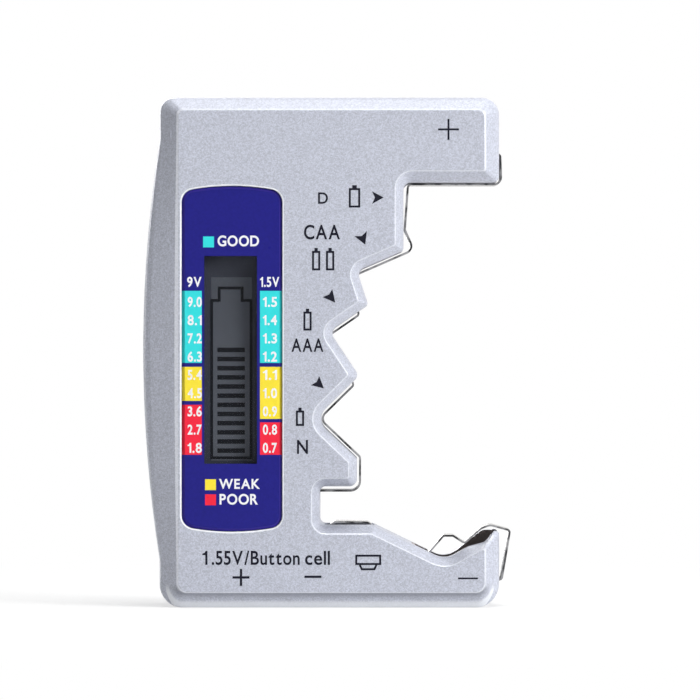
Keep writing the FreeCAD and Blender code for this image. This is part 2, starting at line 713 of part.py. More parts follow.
def front_shell():
    cavity = inset_wire(WALL)
    shell = lofted_shell(body_outline(scooped=True), FRONT_PROFILE, FRONT_Y)
    behind_bevels = shell.translated(vec(0, WALL, 0))
    hollow = prism(cavity, 0.0, FRONT_Y).common(behind_bevels)
    rebate = ring(inset_wire(TONGUE_IN - TONGUE_CLEAR), cavity, 0.0, -TONGUE_L - TONGUE_CLEAR)
    shell = shell.cut([hollow, rebate])
    bed = spread_outline(display_outline(), -BED_MARGIN)
    bed_solid = prism(outline_wire(bed, FLOOR_Y - WALL / 2), FLOOR_Y - WALL / 2, LCD_Y)
    shell = shell.fuse(bed_solid.common(prism(cavity, 0.0, FLOOR_Y - WALL / 2)))
    half_w, half_h = WINDOW_W / 2, WINDOW_H / 2
    window = box(WINDOW_X - half_w, WINDOW_X + half_w, FRONT_Y, LCD_Y + WALL,
                 DISPLAY_Z - half_h, DISPLAY_Z + half_h)
    shell = shell.cut(display_pocket() + [window, strip_grooves()])
    shell = shell.cut(leaf_wells() + snap_windows() + plate_seats())
    adds = [rod(x, z, FLOOR_Y - WALL / 2, 0.0, BOSS_FRONT_R) for x, z in HOUSING_SCREWS]
    adds += [rod(x, z, FLOOR_Y - WALL / 4, BOARD_Y, POST_R) for x, z in BOARD_SCREWS]
    for x, z in (SPRING_POST, BUTTON_POST):
        adds.append(rod(x, z, FLOOR_Y - WALL / 2, -STRIP_WIDE / 2 - LEAF_CLEAR, SHOULDER_R))
        adds.append(rod(x, z, FLOOR_Y, STRIP_WIDE / 2 + LEAF_CLEAR, CURL_BORE_R - PIN_CLEAR))
    adds += plate_ribs(FLOOR_Y - WALL / 4, -SNAP_WINDOW / 2)
    shell = shell.fuse(adds)
    holes = [rod(x, z, FLOOR_Y, 0.0, SCREW_PILOT_R) for x, z in HOUSING_SCREWS]
    holes += [rod(x, z, FLOOR_Y, BOARD_Y, BOARD_PILOT_R) for x, z in BOARD_SCREWS]
    return shell.cut(holes).removeSplitter()


def rear_shell():
    cavity = inset_wire(WALL)
    shell = lofted_shell(body_outline(), REAR_PROFILE, REAR_Y).cut(prism(cavity, 0.0, ROOF_Y))
    tongue = ring(inset_wire(TONGUE_IN), cavity, -TONGUE_L, WALL)
    shell = shell.fuse(tongue)
    shell = shell.cut([strip_grooves()] + leaf_wells() + snap_windows())
    adds = [rod(x, z, 0.0, ROOF_Y + WALL / 2, BOSS_REAR_R) for x, z in HOUSING_SCREWS]
    for x, z in (SPRING_POST, BUTTON_POST):
        adds.append(rod(x, z, STRIP_WIDE / 2 + LEAF_CLEAR, ROOF_Y + WALL / 2, SHOULDER_R))
    adds += [spring_guard()] + plate_ribs(SNAP_WINDOW / 2, ROOF_Y + WALL / 4)
    shell = shell.fuse(adds)
    holes = [rod(x, z, 0.0, REAR_Y, SCREW_HOLE_R) for x, z in HOUSING_SCREWS]
    holes += [rod(x, z, SEAT_Y, REAR_Y, SCREW_SINK_R) for x, z in HOUSING_SCREWS]
    return shell.cut(holes).removeSplitter()


def display_overlay():
    outline = spread_outline(display_outline(), OVERLAY_CLEAR)
    edge = spread_outline(outline, OVERLAY_EDGE)
    wires = [
        outline_wire(outline, POCKET_Y),
        outline_wire(outline, OVERLAY_Y + OVERLAY_EDGE),
        outline_wire(edge, OVERLAY_Y),
    ]
    return Part.makeLoft(wires, True, True)


def lcd_panel():
    """Two bonded glasses, the rear one narrower."""
    half_h = LCD_H / 2
    front_w, rear_w = LCD_W / 2, LCD_W / 2 - LCD_LEDGE
    middle = LCD_Y + LCD_GLASS
    low, high = DISPLAY_Z - half_h, DISPLAY_Z + half_h
    front = box(WINDOW_X - front_w, WINDOW_X + front_w, LCD_Y, middle, low, high)
    rear = box(WINDOW_X - rear_w, WINDOW_X + rear_w, middle, middle + LCD_GLASS, low, high)
    return front.fuse(rear).removeSplitter()


def zebra_strip(side):
    """Conductive rubber strip from the LCD's overhang to the board."""
    middle = WINDOW_X + side * (LCD_W - LCD_LEDGE) / 2
    half_h = LCD_H / 2 - LCD_CLEAR
    return box(middle - ZEBRA_W / 2, middle + ZEBRA_W / 2, LCD_Y + LCD_GLASS, BOARD_Y,
               DISPLAY_Z - half_h, DISPLAY_Z + half_h)


def lcd_holder():
    """Frame between the shell and the board that keeps LCD and rubber strips in line."""

    def block(half_w, half_h, y0, y1):
        return box(WINDOW_X - half_w, WINDOW_X + half_w, y0, y1, DISPLAY_Z - half_h, DISPLAY_Z + half_h)

    outer = block(HOLDER_HALF_W, HOLDER_HALF_H, LCD_Y, BOARD_Y)
    inner = block(LCD_W / 2 + LCD_CLEAR, LCD_H / 2 + LCD_CLEAR, LCD_Y, BOARD_Y)
    backing = block(LCD_W / 2 - LCD_LEDGE, HOLDER_HALF_H - HOLDER_WALL / 2,
                    LCD_Y + 2 * LCD_GLASS, BOARD_Y - LCD_CLEAR)
    return outer.cut(inner).fuse(backing).removeSplitter()


def circuit_board():
    board = box(BOARD_LEFT, BOARD_RIGHT, BOARD_Y, BOARD_BACK_Y, BOARD_LOW, BOARD_HIGH)
    hole_r = BOARD_PILOT_R + TONGUE_CLEAR
    holes = [rod(x, z, BOARD_Y, BOARD_BACK_Y, hole_r) for x, z in BOARD_SCREWS]
    boss_r = BOSS_REAR_R + BOARD_GAP
    corners = [rod(x, z, BOARD_Y, BOARD_BACK_Y, boss_r) for x, z in HOUSING_SCREWS]
    return board.cut(holes + corners)


def turned(profile, place, axis):
    """Solid of revolution from (distance along axis, radius) points, started at place."""
    points = [vec(r, 0, h) for h, r in [(profile[0][0], 0.0), *profile, (profile[-1][0], 0.0)]]
    wire = Part.makePolygon(points + points[:1])
    solid = Part.Face(wire).revolve(vec(0, 0, 0), vec(0, 0, 1), 360)
    solid.Placement = FreeCAD.Placement(place, FreeCAD.Rotation(vec(0, 0, 1), axis))
    return solid


def controller_chip():
    """Low dome of potting over the controller."""
    sphere_r = (CHIP_R ** 2 + CHIP_H ** 2) / (2 * CHIP_H)
    centre = vec(DISPLAY_X, BOARD_BACK_Y + CHIP_H - sphere_r, DISPLAY_Z)
    ball = Part.makeSphere(sphere_r, centre)
    return ball.common(rod(DISPLAY_X, DISPLAY_Z, BOARD_BACK_Y, BOARD_BACK_Y + CHIP_H, CHIP_R))


def load_resistor(off, radius, length):
    """Axial resistor lying across the board, its lacquered ends thicker, with bent leads."""
    bulge = 1.12 * radius
    edge, cap, neck = 0.08 * length, 0.22 * length, 0.26 * length
    half = length / 2
    z = DISPLAY_Z + off
    axis_y = BOARD_BACK_Y + bulge + RIB_GAP
    rising = [(0, 0.8 * bulge), (edge, bulge), (cap, bulge), (neck, radius)]
    falling = [(length - along, r) for along, r in reversed(rising)]
    body = turned(rising + falling, vec(DISPLAY_X - half, axis_y, z), vec(1, 0, 0))
    leads = []
    for side in (-1, 1):
        end = DISPLAY_X + side * (half + LEAD_OUT)
        low, high = sorted((DISPLAY_X, end))
        leads.append(Part.makeCylinder(LEAD_R, high - low, vec(low, axis_y, z), vec(1, 0, 0)))
        leads.append(Part.makeSphere(LEAD_R, vec(end, axis_y, z)))
        leads.append(rod(end, z, BOARD_BACK_Y, axis_y, LEAD_R))
    return body.fuse(leads).removeSplitter()


def boost_inductor():
    """Drum core wound between two flanges."""
    rim = 0.18 * INDUCTOR_H
    waist = 0.86 * INDUCTOR_R
    return turned(
        [(0, INDUCTOR_R), (rim, INDUCTOR_R), (rim, waist), (INDUCTOR_H - rim, waist),
         (INDUCTOR_H - rim, INDUCTOR_R), (INDUCTOR_H, INDUCTOR_R)],
        vec(DISPLAY_X + COIL_OFF[0], BOARD_BACK_Y, DISPLAY_Z + COIL_OFF[1]), vec(0, 1, 0))


def smoothing_capacitor():
    """Small can with a crimp near its foot."""
    crimp = 0.22 * CAPACITOR_H
    return turned(
        [(0, CAPACITOR_R), (crimp, CAPACITOR_R), (1.3 * crimp, 0.9 * CAPACITOR_R),
         (1.6 * crimp, CAPACITOR_R), (0.95 * CAPACITOR_H, CAPACITOR_R),
         (CAPACITOR_H, 0.92 * CAPACITOR_R)],
        vec(DISPLAY_X + CAN_OFF[0], BOARD_BACK_Y, DISPLAY_Z + CAN_OFF[1]), vec(0, 1, 0))


def positive_strip():
    """The one strip that is every positive contact, its tail narrowed to lie on the board."""
    half = STRIP_WIDE / 2
    strip = bent_strip(positive_path(), STRIP_THICK, -half, half)
    tail_x = SLOT_X - WALL - TAIL_NECK
    trim = box(BOARD_RIGHT - 2 * TAIL_LAP, tail_x, -half, BOARD_BACK_Y, LEDGE_Z, SLOT_TOP_Z)
    return strip.cut(trim)


def moving_leaf(path):
    half = STRIP_WIDE / 2
    return bent_strip(path, STRIP_THICK, -half, half)


def snap_plate(x):
    half = SNAP_PLATE / 2
    return box(x - half, x + half, -half, half, WALL, WALL + SNAP_PLATE_THICK)


def screw(x, z, seat, head_r, head_h, shank_r, length, cross_w, cross_l):
    """Pan-head screw driven from the back, with a cross recess."""
    head = turned([(0, head_r), (0.45 * head_h, head_r), (head_h, 0.6 * head_r)],
                  vec(x, seat, z), vec(0, 1, 0))
    body = head.fuse(rod(x, z, seat - length, seat, shank_r))
    depth = head_h / 2
    for half_x, half_z in ((cross_l / 2, cross_w / 2), (cross_w / 2, cross_l / 2)):
        body = body.cut(box(x - half_x, x + half_x, seat + depth, seat + 2 * head_h,
                            z - half_z, z + half_z))
    return body.removeSplitter()


def housing_screws():
    return Part.makeCompound([
        screw(x, z, SEAT_Y, SCREW_HEAD_R, SCREW_HEAD_H, SCREW_SHANK_R, SCREW_L, CROSS_W, CROSS_L)
        for x, z in HOUSING_SCREWS])


def board_screws():
    return Part.makeCompound([
        screw(x, z, BOARD_BACK_Y, BOARD_HEAD_R, BOARD_HEAD_H, BOARD_SHANK_R, BOARD_SCREW_L,
              CROSS_W / 2, CROSS_L / 2)
        for x, z in BOARD_SCREWS])


def wire(points):
    """Insulated lead: straight runs joined by the largest tangent arcs they allow."""
    points = [vec(*p) for p in points]
    edges = []
    last = points[0]
    for before, here, after in zip(points, points[1:], points[2:]):
        into, out = here - before, after - here
        half_turn = into.getAngle(out) / 2
        reach = 0.45 * min(into.Length, out.Length)
        radius = reach / math.tan(half_turn)
        into.normalize()
        out.normalize()
        start, end = here - into * reach, here + out * reach
        inward = (out - into).normalize()
        middle = here + inward * (radius / math.cos(half_turn) - radius)
        edges.append(Part.LineSegment(last, start).toShape())
        edges.append(Part.Arc(start, middle, end).toShape())
        last = end
    edges.append(Part.LineSegment(last, points[-1]).toShape())
    heading = (points[1] - points[0]).normalize()
    circle = Part.Wire(Part.makeCircle(WIRE_R, points[0], heading))
    return Part.Wire(edges).makePipeShell([circle], True, False)


def lead(start, bends, pad, off):
    """Lead from start through its bends, let down onto its pad on the board."""
    x, y, z = start
    face = BOARD_BACK_Y if off > 0 else BOARD_Y
    path = [start] + [(x + dx, y + dy, z + dz) for dx, dy, dz in bends]
    return wire(path + [(pad[0], face + off, pad[1]), (pad[0], face, pad[1])])


def negative_wire():
    start_x = SPRING_POST[0] - CURL_OUTER_R - SOLDER_GAP
    start_z = SPRING_POST[1] - WIRE_R
    return lead((start_x, 0.0, start_z), NEGATIVE_BENDS, NEGATIVE_PAD, NEGATIVE_OFF)


def button_wire():
    start_x = BUTTON_POST[0] - CURL_OUTER_R - SOLDER_GAP
    return lead((start_x, 0.0, BUTTON_POST[1]), BUTTON_BENDS, BUTTON_PAD, BUTTON_OFF)


def snap_wire(plate_x, on_plate, rise, pad, off):
    start = (plate_x + on_plate[0], on_plate[1], WALL + SNAP_PLATE_THICK)
    return lead(start, [(0.0, 0.0, rise)], pad, off)


def all_pieces():
    return {
        "front_shell": front_shell(),
        "rear_shell": rear_shell(),
        "display_overlay": display_overlay(),
        "lcd_panel": lcd_panel(),
        "lcd_holder": lcd_holder(),
        "zebra_strip_left": zebra_strip(-1),
        "zebra_strip_right": zebra_strip(1),
        "circuit_board": circuit_board(),
        "controller_chip": controller_chip(),
        "low_load_resistor": load_resistor(*LOW_LOAD),
        "high_load_resistor": load_resistor(*HIGH_LOAD),
        "boost_inductor": boost_inductor(),
        "smoothing_capacitor": smoothing_capacitor(),
        "positive_strip": positive_strip(),
        "negative_spring": moving_leaf(spring_path()),
        "button_leaf": moving_leaf(button_path()),
        "snap_plate_positive": snap_plate(SNAP_X[0]),
        "snap_plate_negative": snap_plate(SNAP_X[1]),
        "negative_wire": negative_wire(),
        "button_wire": button_wire(),
        "snap_wire_positive": snap_wire(SNAP_X[0], SNAP_POSITIVE_START, SNAP_POSITIVE_RISE,
                                        SNAP_POSITIVE_PAD, SNAP_POSITIVE_OFF),
        "snap_wire_negative": snap_wire(SNAP_X[1], SNAP_NEGATIVE_START, SNAP_NEGATIVE_RISE,
                                        SNAP_NEGATIVE_PAD, SNAP_NEGATIVE_OFF),
        "housing_screws": housing_screws(),
        "board_screws": board_screws(),
    }


os.makedirs("parts", exist_ok=True)
for name, shape in all_pieces().items():
    shape.exportStep("parts/" + name + ".step")
    print(name, len(shape.Solids), round(shape.Volume, 2), shape.isValid())
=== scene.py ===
"""Looks of the battery tester: silver-painted housing, printed display panel, nickel contacts."""

import math

import bpy
import numpy as np
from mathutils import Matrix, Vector


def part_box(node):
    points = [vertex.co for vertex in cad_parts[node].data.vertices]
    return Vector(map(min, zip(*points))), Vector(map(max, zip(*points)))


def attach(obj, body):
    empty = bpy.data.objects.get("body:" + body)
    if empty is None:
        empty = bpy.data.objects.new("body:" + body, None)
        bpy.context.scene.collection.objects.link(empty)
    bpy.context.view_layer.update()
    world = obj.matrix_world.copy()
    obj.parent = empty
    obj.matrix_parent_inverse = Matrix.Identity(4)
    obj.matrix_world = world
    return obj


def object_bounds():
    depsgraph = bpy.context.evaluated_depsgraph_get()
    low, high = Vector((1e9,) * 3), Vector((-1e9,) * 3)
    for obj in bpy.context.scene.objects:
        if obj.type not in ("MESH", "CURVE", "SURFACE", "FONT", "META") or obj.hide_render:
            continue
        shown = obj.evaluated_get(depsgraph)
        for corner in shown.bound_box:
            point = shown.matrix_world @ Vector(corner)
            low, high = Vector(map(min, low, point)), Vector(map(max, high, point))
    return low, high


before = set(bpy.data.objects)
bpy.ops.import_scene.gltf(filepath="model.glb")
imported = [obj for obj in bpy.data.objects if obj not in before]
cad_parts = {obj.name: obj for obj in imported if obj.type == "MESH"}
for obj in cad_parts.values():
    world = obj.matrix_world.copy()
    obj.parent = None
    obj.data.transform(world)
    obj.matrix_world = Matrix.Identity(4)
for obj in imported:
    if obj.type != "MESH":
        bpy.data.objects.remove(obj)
cad_low, cad_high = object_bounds()

MM = 0.001
HOUSING = "housing"
INK = 0.015 * MM                  # how far a print stands on its surface
FACE_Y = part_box("front_shell")[0].y
OVERLAY_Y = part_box("display_overlay")[0].y
LCD_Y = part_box("lcd_panel")[0].y

# Camera: straight on, one metre from the raised face, as the photograph's small perspective says
CAMERA_DISTANCE = 1.0
PICTURE_WIDTH = 123.24 * MM       # what the picture covers at the raised face
PICTURE_MIDDLE = (4.05 * MM, 45.4 * MM)
SENSOR = 36.0

# Light: level is what a white surface facing the lamp returns
WORLD_LEVEL = 0.02
TOP_LAMP = ((0.10, -0.10, 0.99), 0.9, 0.45, 0.95)      # direction, distance, size, level
FRONT_LAMP = ((0.74, -0.57, 0.36), 0.9, 0.36, 0.88)
BACK_LAMP = ((-0.35, 0.90, 0.25), 1.0, 0.60, 0.50)
FLOOR_HALF = 3.0
FLOOR_SEEN = (0.90, 0.90, 0.90)   # the floor's colour to the eye
FLOOR_BOUNCE = (0.85, 0.85, 0.85)     # and for the light that it sends back to the object
FLOOR_SHADE = (0.05, 0.20)        # the floor turns from shaded to plain white between these radii
FLOOR_NEAR = 0.65                 # share of plain white at the inner radius
WHITE = (1.0, 1.0, 1.0)

# Colours, linear: housing, prints and display
SILVER = (0.475, 0.495, 0.572)
# pale silver of painted highlights: on edges, towards the lower rim's lip and on the panel's lip
SILVER_HIGHLIGHT = (0.80, 0.82, 0.86)
# dark silver of the painted shade in the lower rim's crease
SILVER_SHADE = (0.195, 0.205, 0.245)
# near white of the panel lip's painted highlight
LIP_HIGHLIGHT = (0.92, 0.93, 0.95)
# brown of bare plastic, made dark enough to paint the shade in the spring's well
BARE_PLASTIC_AND_SHADE = (0.230, 0.190, 0.185)
PRINT_BLACK = (0.012, 0.012, 0.022)
PRINT_WHITE = (0.92, 0.92, 0.94)
PANEL_BLUE = (0.0160, 0.0150, 0.205)
# lighter blue of the painted highlight on the panel cover's bevelled edge
PANEL_EDGE_HIGHLIGHT = (0.060, 0.040, 0.400)
PANEL_CYAN = (0.042, 0.720, 0.730)
PANEL_YELLOW = (0.950, 0.770, 0.045)
PANEL_RED = (0.900, 0.026, 0.050)
LCD_GREY = (0.096, 0.105, 0.125)
# black of the LCD's border, which also stands in for shade there, and of the clear window's tint
LCD_BORDER_AND_SHADE = (0.030, 0.033, 0.045)
LCD_INK = (0.004, 0.005, 0.008)

# Colours, linear: contacts and the parts inside
NICKEL = (0.70, 0.68, 0.65)
NICKEL_DRAWN = (0.46, 0.45, 0.44)
NICKEL_SPOT = (0.27, 0.24, 0.22)
# dark and light of the painted reflections on the dull sheared edges
SHEARED_DULL_AND_DARK_REFLECTION = (0.045, 0.045, 0.048)
SHEARED_LIGHT_REFLECTION = (0.33, 0.33, 0.34)
STEEL = (0.55, 0.55, 0.54)
STEEL_SCUFFED = (0.34, 0.33, 0.31)
ZEBRA_BLACK = (0.015, 0.015, 0.016)
ZEBRA_GREY = (0.42, 0.40, 0.38)
MASK_DARK = (0.008, 0.085, 0.030)
MASK_LIGHT = (0.012, 0.110, 0.040)
TRACK_GREEN = (0.030, 0.200, 0.070)
LACQUER = (0.62, 0.47, 0.28)
LACQUER_DARK = (0.52, 0.38, 0.22)
BAND_BROWN = (0.30, 0.09, 0.02)
BAND_BLACK = (0.02, 0.02, 0.02)
BAND_GOLD = (0.75, 0.55, 0.12)
LEAD_TIN = (0.66, 0.66, 0.66)
CAN_BRIGHT = (0.66, 0.67, 0.69)
CAN_DULL = (0.50, 0.50, 0.52)
# copper, and its painted shade between turns
COPPER_SHADE = (0.30, 0.095, 0.030)
COPPER = (0.62, 0.25, 0.09)
FERRITE_DARK = (0.030, 0.029, 0.028)
FERRITE = (0.055, 0.053, 0.050)
MOULDED = {                       # colour, roughness, grains per millimetre
    "black_insulation": ((0.012, 0.012, 0.013), 0.40, 2.0),
    "black_plastic": ((0.020, 0.020, 0.021), 0.46, 3.0),
    "potting": ((0.010, 0.010, 0.011), 0.22, 1.2),
    "red_insulation": ((0.36, 0.012, 0.012), 0.38, 2.0),
}

# Finishes: places and depths in millimetres, tones and shares as factors
PAINT_SHARES = (0.66, 0.18, 0.16)     # of flakes, grain and clouds in the paint's tone
PAINT_RANGE = (0.72, 1.28)        # darkest and lightest tone
EDGE_HIGHLIGHT_DEPTHS = (0.02, 0.17)          # depths behind the flat faces where a pale line is painted as a highlight
EDGE_HIGHLIGHT_LEAST = 0.20                 # how strong that painted highlight is at the least, and what grain adds
EDGE_HIGHLIGHT_GRAIN = 0.45
WELL = (15.0, 30.2, 2.0, 15.5)    # well of the negative spring: left, right, low, high
WELL_GAP = 0.31                   # from the spring to just past the walls of its well
WELL_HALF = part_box("negative_spring")[1].y / MM + WELL_GAP
BARE_RANGE = (0.6, 1.5)           # darkest and lightest tone of the bare plastic
BLUE_RANGE = (0.84, 1.16)         # and of the panel's blue
COVER_BEVEL = (0.02, 0.48)        # depths behind the panel's front that its bevelled edge covers
COVER_HIGHLIGHT_SHARE = 0.55
BLOCK_COVER = 0.92                # how well a colour block's ink covers at the least
WINDOW_CLEAR = 0.94
INK_THIN = 0.82                   # tone of a print where its ink is thin
LCD_RANGE = (1.08, 0.80)          # tones of the LCD's grey
LCD_GRAIN = 0.5
LCD_BORDER_LIGHT = 1.5
LCD_SHADE_FADE = (30.0, 58.0)           # heights between which the LCD's grey darkens as painted shade
LCD_SHADE_SHARE = 0.22
SHEARED_FACING = 0.9              # a strip's face that looks sideways this much is a cut edge
NICKEL_SPOTS = (0.52, 0.74)       # noise between which spots grow, and how much they darken
NICKEL_SPOT_SHARE = 0.22
SHEARED_REFLECTION_PATCHES = (0.40, 0.62)    # noise between which a cut edge's painted reflection turns from dark to light
LIP_HIGHLIGHT_PATCHES = (0.30, 0.70)         # noise between which the lip's painted highlight turns paler
MOULD_FLOW = 0.6                  # share of flow marks on plastic, and how much lighter they are
MOULD_GAIN = 1.35
MOULD_LIFT = 0.01
ZEBRA_PITCH = 0.36
ZEBRA_BLUR = 0.3                  # of the wave that makes the layers
WEAVE = 9.0                       # radians of the laminate's weave per millimetre
TRACKS = 2.4                      # radians of the tracks per millimetre, and their wander
TRACK_WANDER = 9.0
TRACK_EDGE = (0.45, 0.6)
TRACK_SHARE = 0.8
WEAVE_RELIEF = 0.3                # of the weave, beside that of a track
BAND_HALF = 0.36                  # half of a resistor band's width
RESISTOR_BANDS = ((-2.6, BAND_BROWN), (-1.1, BAND_BLACK), (0.4, BAND_BLACK), (2.5, BAND_GOLD))
RESISTOR_HALF = 4.6               # half of a resistor's lacquered length
TURN_PITCH = 0.3                  # of the coil's wire
WOUND_HALF = 0.3                  # half of the winding, as a share of the coil's height

# Display panel print, millimetres: the window, and blocks as (left, right) and (low, high)
WINDOW = (-21.65, -12.32, 25.35, 61.97)
LCD_GLASS = (-20.45, -13.25, 25.9, 58.25)
COLUMN_LEFT = (-26.0, -22.05)
COLUMN_RIGHT = (-11.8, -7.0)
CYAN_ROWS = (43.13, 55.81)
YELLOW_ROWS_LEFT = (36.44, 42.43)
YELLOW_ROWS_RIGHT = (33.27, 42.43)
RED_ROWS_LEFT = (26.94, 35.74)
RED_ROWS_RIGHT = (26.94, 32.66)
LEGEND = 1.92                     # side of a legend square
LEGEND_GOOD = (-20.86, 64.43)
LEGEND_WEAK = (-20.51, 21.68)
LEGEND_POOR = (-20.51, 19.02)
PANEL_WORDS = (                   # left, right, low, high
    ("GOOD", -19.28, -11.97, 63.66, 65.56),
    ("WEAK", -19.01, -11.80, 20.95, 22.70),
    ("POOR", -18.93, -12.15, 18.18, 20.05),
    ("9V", -24.65, -22.10, 56.51, 58.27),
    ("1.5V", -11.80, -8.40, 56.51, 58.27),
)
SCALE_TOP_Z = 53.87               # middle of the first row of numbers
SCALE_STEP = 3.213
SCALE_HALF = 0.88
SCALE_LEFT = (-24.55, -22.05)
SCALE_RIGHT = (-11.30, -8.80)
SCALE_9V = ("9.0", "8.1", "7.2", "6.3", "5.4", "4.5", "3.6", "2.7", "1.8")
SCALE_1V5 = ("1.5", "1.4", "1.3", "1.2", "1.1", "1.0", "0.9", "0.8", "0.7")

# LCD segments, millimetres
LCD_LINE = 0.50
LCD_BODY = (-20.38, -13.42, 26.36, 54.15)
LCD_NUB = (-19.05, -15.0, 56.35)
LCD_BARS = 12
LCD_BAR = (-19.37, -14.52)
LCD_BAR_HEIGHT = 0.80
LCD_BAR_TOP_Z = 45.42
LCD_BAR_STEP = 1.617

# Lip round the panel, millimetres
PANEL_GAP = 0.15                  # from the overlay to the edge of its recess
PANEL_CORNER_R = 2.4
PANEL_CROWN_R = 40.0
PANEL_RISE = 1.58                 # slope of the crowned ends, corner to middle
LIP_R = 0.20
LIP_OUT = 0.12                    # middle of the lip, outside the edge of the recess
LIP_STEPS = 12
CORNER_STEPS = 17                 # points on a rounded corner, here and on the rim

# Rim along the lower edge, millimetres: it turns the flat bevel there into a cove
BEVEL_SHARES = (0.0, 0.06, 0.20, 0.88, 1.0)     # of the bevel's width, from the outline inwards
BEVEL_DEPTHS = (4.0, 3.1, 2.4, 0.16, 0.0)       # behind the raised face
BASE_BEVEL = 2.85
LOWER_CORNERS = ((-29.6, 4.0, 3.5), (30.4, 4.1, -2.7))      # side, radius, bevel towards +x
CORNER_LEAST = 0.4                # of a corner's radius, kept up to the raised face
RIM_FROM = 0.01                   # shares of the bevel's width that the rim covers
RIM_TO = 0.80
RIM_FACE = 0.07                   # share by which it has turned to face the front
RIM_EDGE_R = 0.20
RIM_EDGE_STEPS = 7
RIM_COVE_STEPS = 25
RIM_SUNK = 0.01                   # into the bevel, where the two run together
RIM_BACK = 0.40                   # its hidden back, behind the bevel
RIM_SHARP = math.radians(35)
RIM_SHADING_FADE = (2.6, 4.6)            # heights between which the painted shade and highlight along the rim end
RIM_SHADE_DEPTHS = (0.10, 1.40)        # depths behind the raised face: painted shade in the crease
RIM_HIGHLIGHT_DEPTHS = (1.20, 1.62)           # and a painted highlight towards the lip
RIM_SHADING_BACK = 2.0
RIM_SHADING_SHARE = 0.80                 # of the painted shade and the painted highlight at their fullest

# Marks on the raised face, millimetres: letters and cells as (left, right, low, high)
SEAT_MARKS = {
    "mark_d": {
        "letters": ("D", -1.58, 0.18, 71.13, 73.15),
        "cells": [(3.84, 5.85, 70.48, 74.42)],
        "arrow": [(9.98, 72.25), (7.92, 73.35), (8.44, 72.25), (7.92, 71.11)],
    },
    "mark_c_aa": {
        "letters": ("CAA", -4.05, 2.29, 64.88, 67.43),
        "cells": [(-2.64, -1.19, 59.41, 63.37), (-0.18, 1.28, 59.41, 63.37)],
        "arrow": [(6.73, 63.93), (7.03, 66.36), (6.12, 65.47), (4.84, 65.44)],
    },
    "mark_aaa": {
        "letters": ("AAA", -6.25, -0.62, 45.07, 47.43),
        "cells": [(-4.16, -2.71, 48.83, 52.68)],
        "arrow": [(1.46, 53.74), (0.94, 56.12), (0.37, 55.19), (-0.76, 54.70)],
    },
    "mark_n": {
        "letters": ("N", -5.28, -3.35, 27.11, 29.57),
        "cells": [(-5.48, -4.03, 32.02, 35.26)],
        "arrow": [(-0.54, 38.63), (-1.38, 40.83), (-1.81, 39.80), (-2.84, 39.20)],
    },
}
BUTTON_WORDS = (("1", -21.95, -21.04), (".55V/Button", -20.30, -4.81), ("cell", -3.87, 0.53))
BUTTON_ROW = (7.57, 10.04)
BUTTON_CAN = [(5.15, 7.72), (9.36, 7.72), (9.36, 9.19), (5.15, 9.19)]
BUTTON_CAP = [(5.77, 7.57), (6.13, 6.80), (8.35, 6.80), (8.70, 7.57)]
TOP_PLUS = (21.39, 84.24, 3.7)    # middle and size
TERMINAL_PLUS = (-15.14, 5.36, 3.0)
TERMINAL_MINUS = (-3.97, -0.97, 5.47)     # left, right and height
SPRING_MINUS = (23.06, 26.58, 5.19)
STROKE = 0.36                     # line of the cell marks
TOP_STROKE = 0.345                # of the plus on the top arm
TERMINAL_STROKE = 0.42            # of the signs over the 9 V terminals
SPRING_STROKE = 0.31              # of the minus beside the spring
CELL_NUB = 0.40                   # nub of a cell mark, as a share of its width
CELL_NUB_HEIGHT = 0.52

# Letters
FACE_WEIGHT = 0.017               # how much the built-in typeface is thickened, of its size
PANEL_WEIGHT = 0.026
LETTER_STEPS = 6
LETTER_GAP = 0.12                 # between letters, of the cap height
ONE_RIGHT = 0.46                  # figure 1, of the cap height: right side of its stem,
ONE_FLAG = (0.06, 0.80)           # tip of its flag,
ONE_BEND = (0.06, 0.86)           # bend over the flag, left of the stem and up,
ONE_TOP = 0.80                    # and widths of its top and of its flag, of the stem's
ONE_ARM = 0.62


class Value:
    """A shader value: arithmetic on it adds Math nodes to its material."""

    def __init__(self, finish, socket):
        self.finish = finish
        self.socket = socket

    def math(self, operation, first, second):
        settings = {"operation": operation}
        return self.finish.node("ShaderNodeMath", settings, {0: first, 1: second})

    def __add__(self, other):
        return self.math("ADD", self, other)

    def __radd__(self, other):
        return self.math("ADD", other, self)

    def __sub__(self, other):
        return self.math("SUBTRACT", self, other)

    def __rsub__(self, other):
        return self.math("SUBTRACT", other, self)

    def __mul__(self, other):
        return self.math("MULTIPLY", self, other)

    def __rmul__(self, other):
        return self.math("MULTIPLY", other, self)

    def __gt__(self, other):
        return self.math("GREATER_THAN", self, other)

    def __lt__(self, other):
        return self.math("LESS_THAN", self, other)

    def absolute(self):
        return self.math("ABSOLUTE", self, 0.0)

    def sine(self):
        return self.math("SINE", self, 0.0)


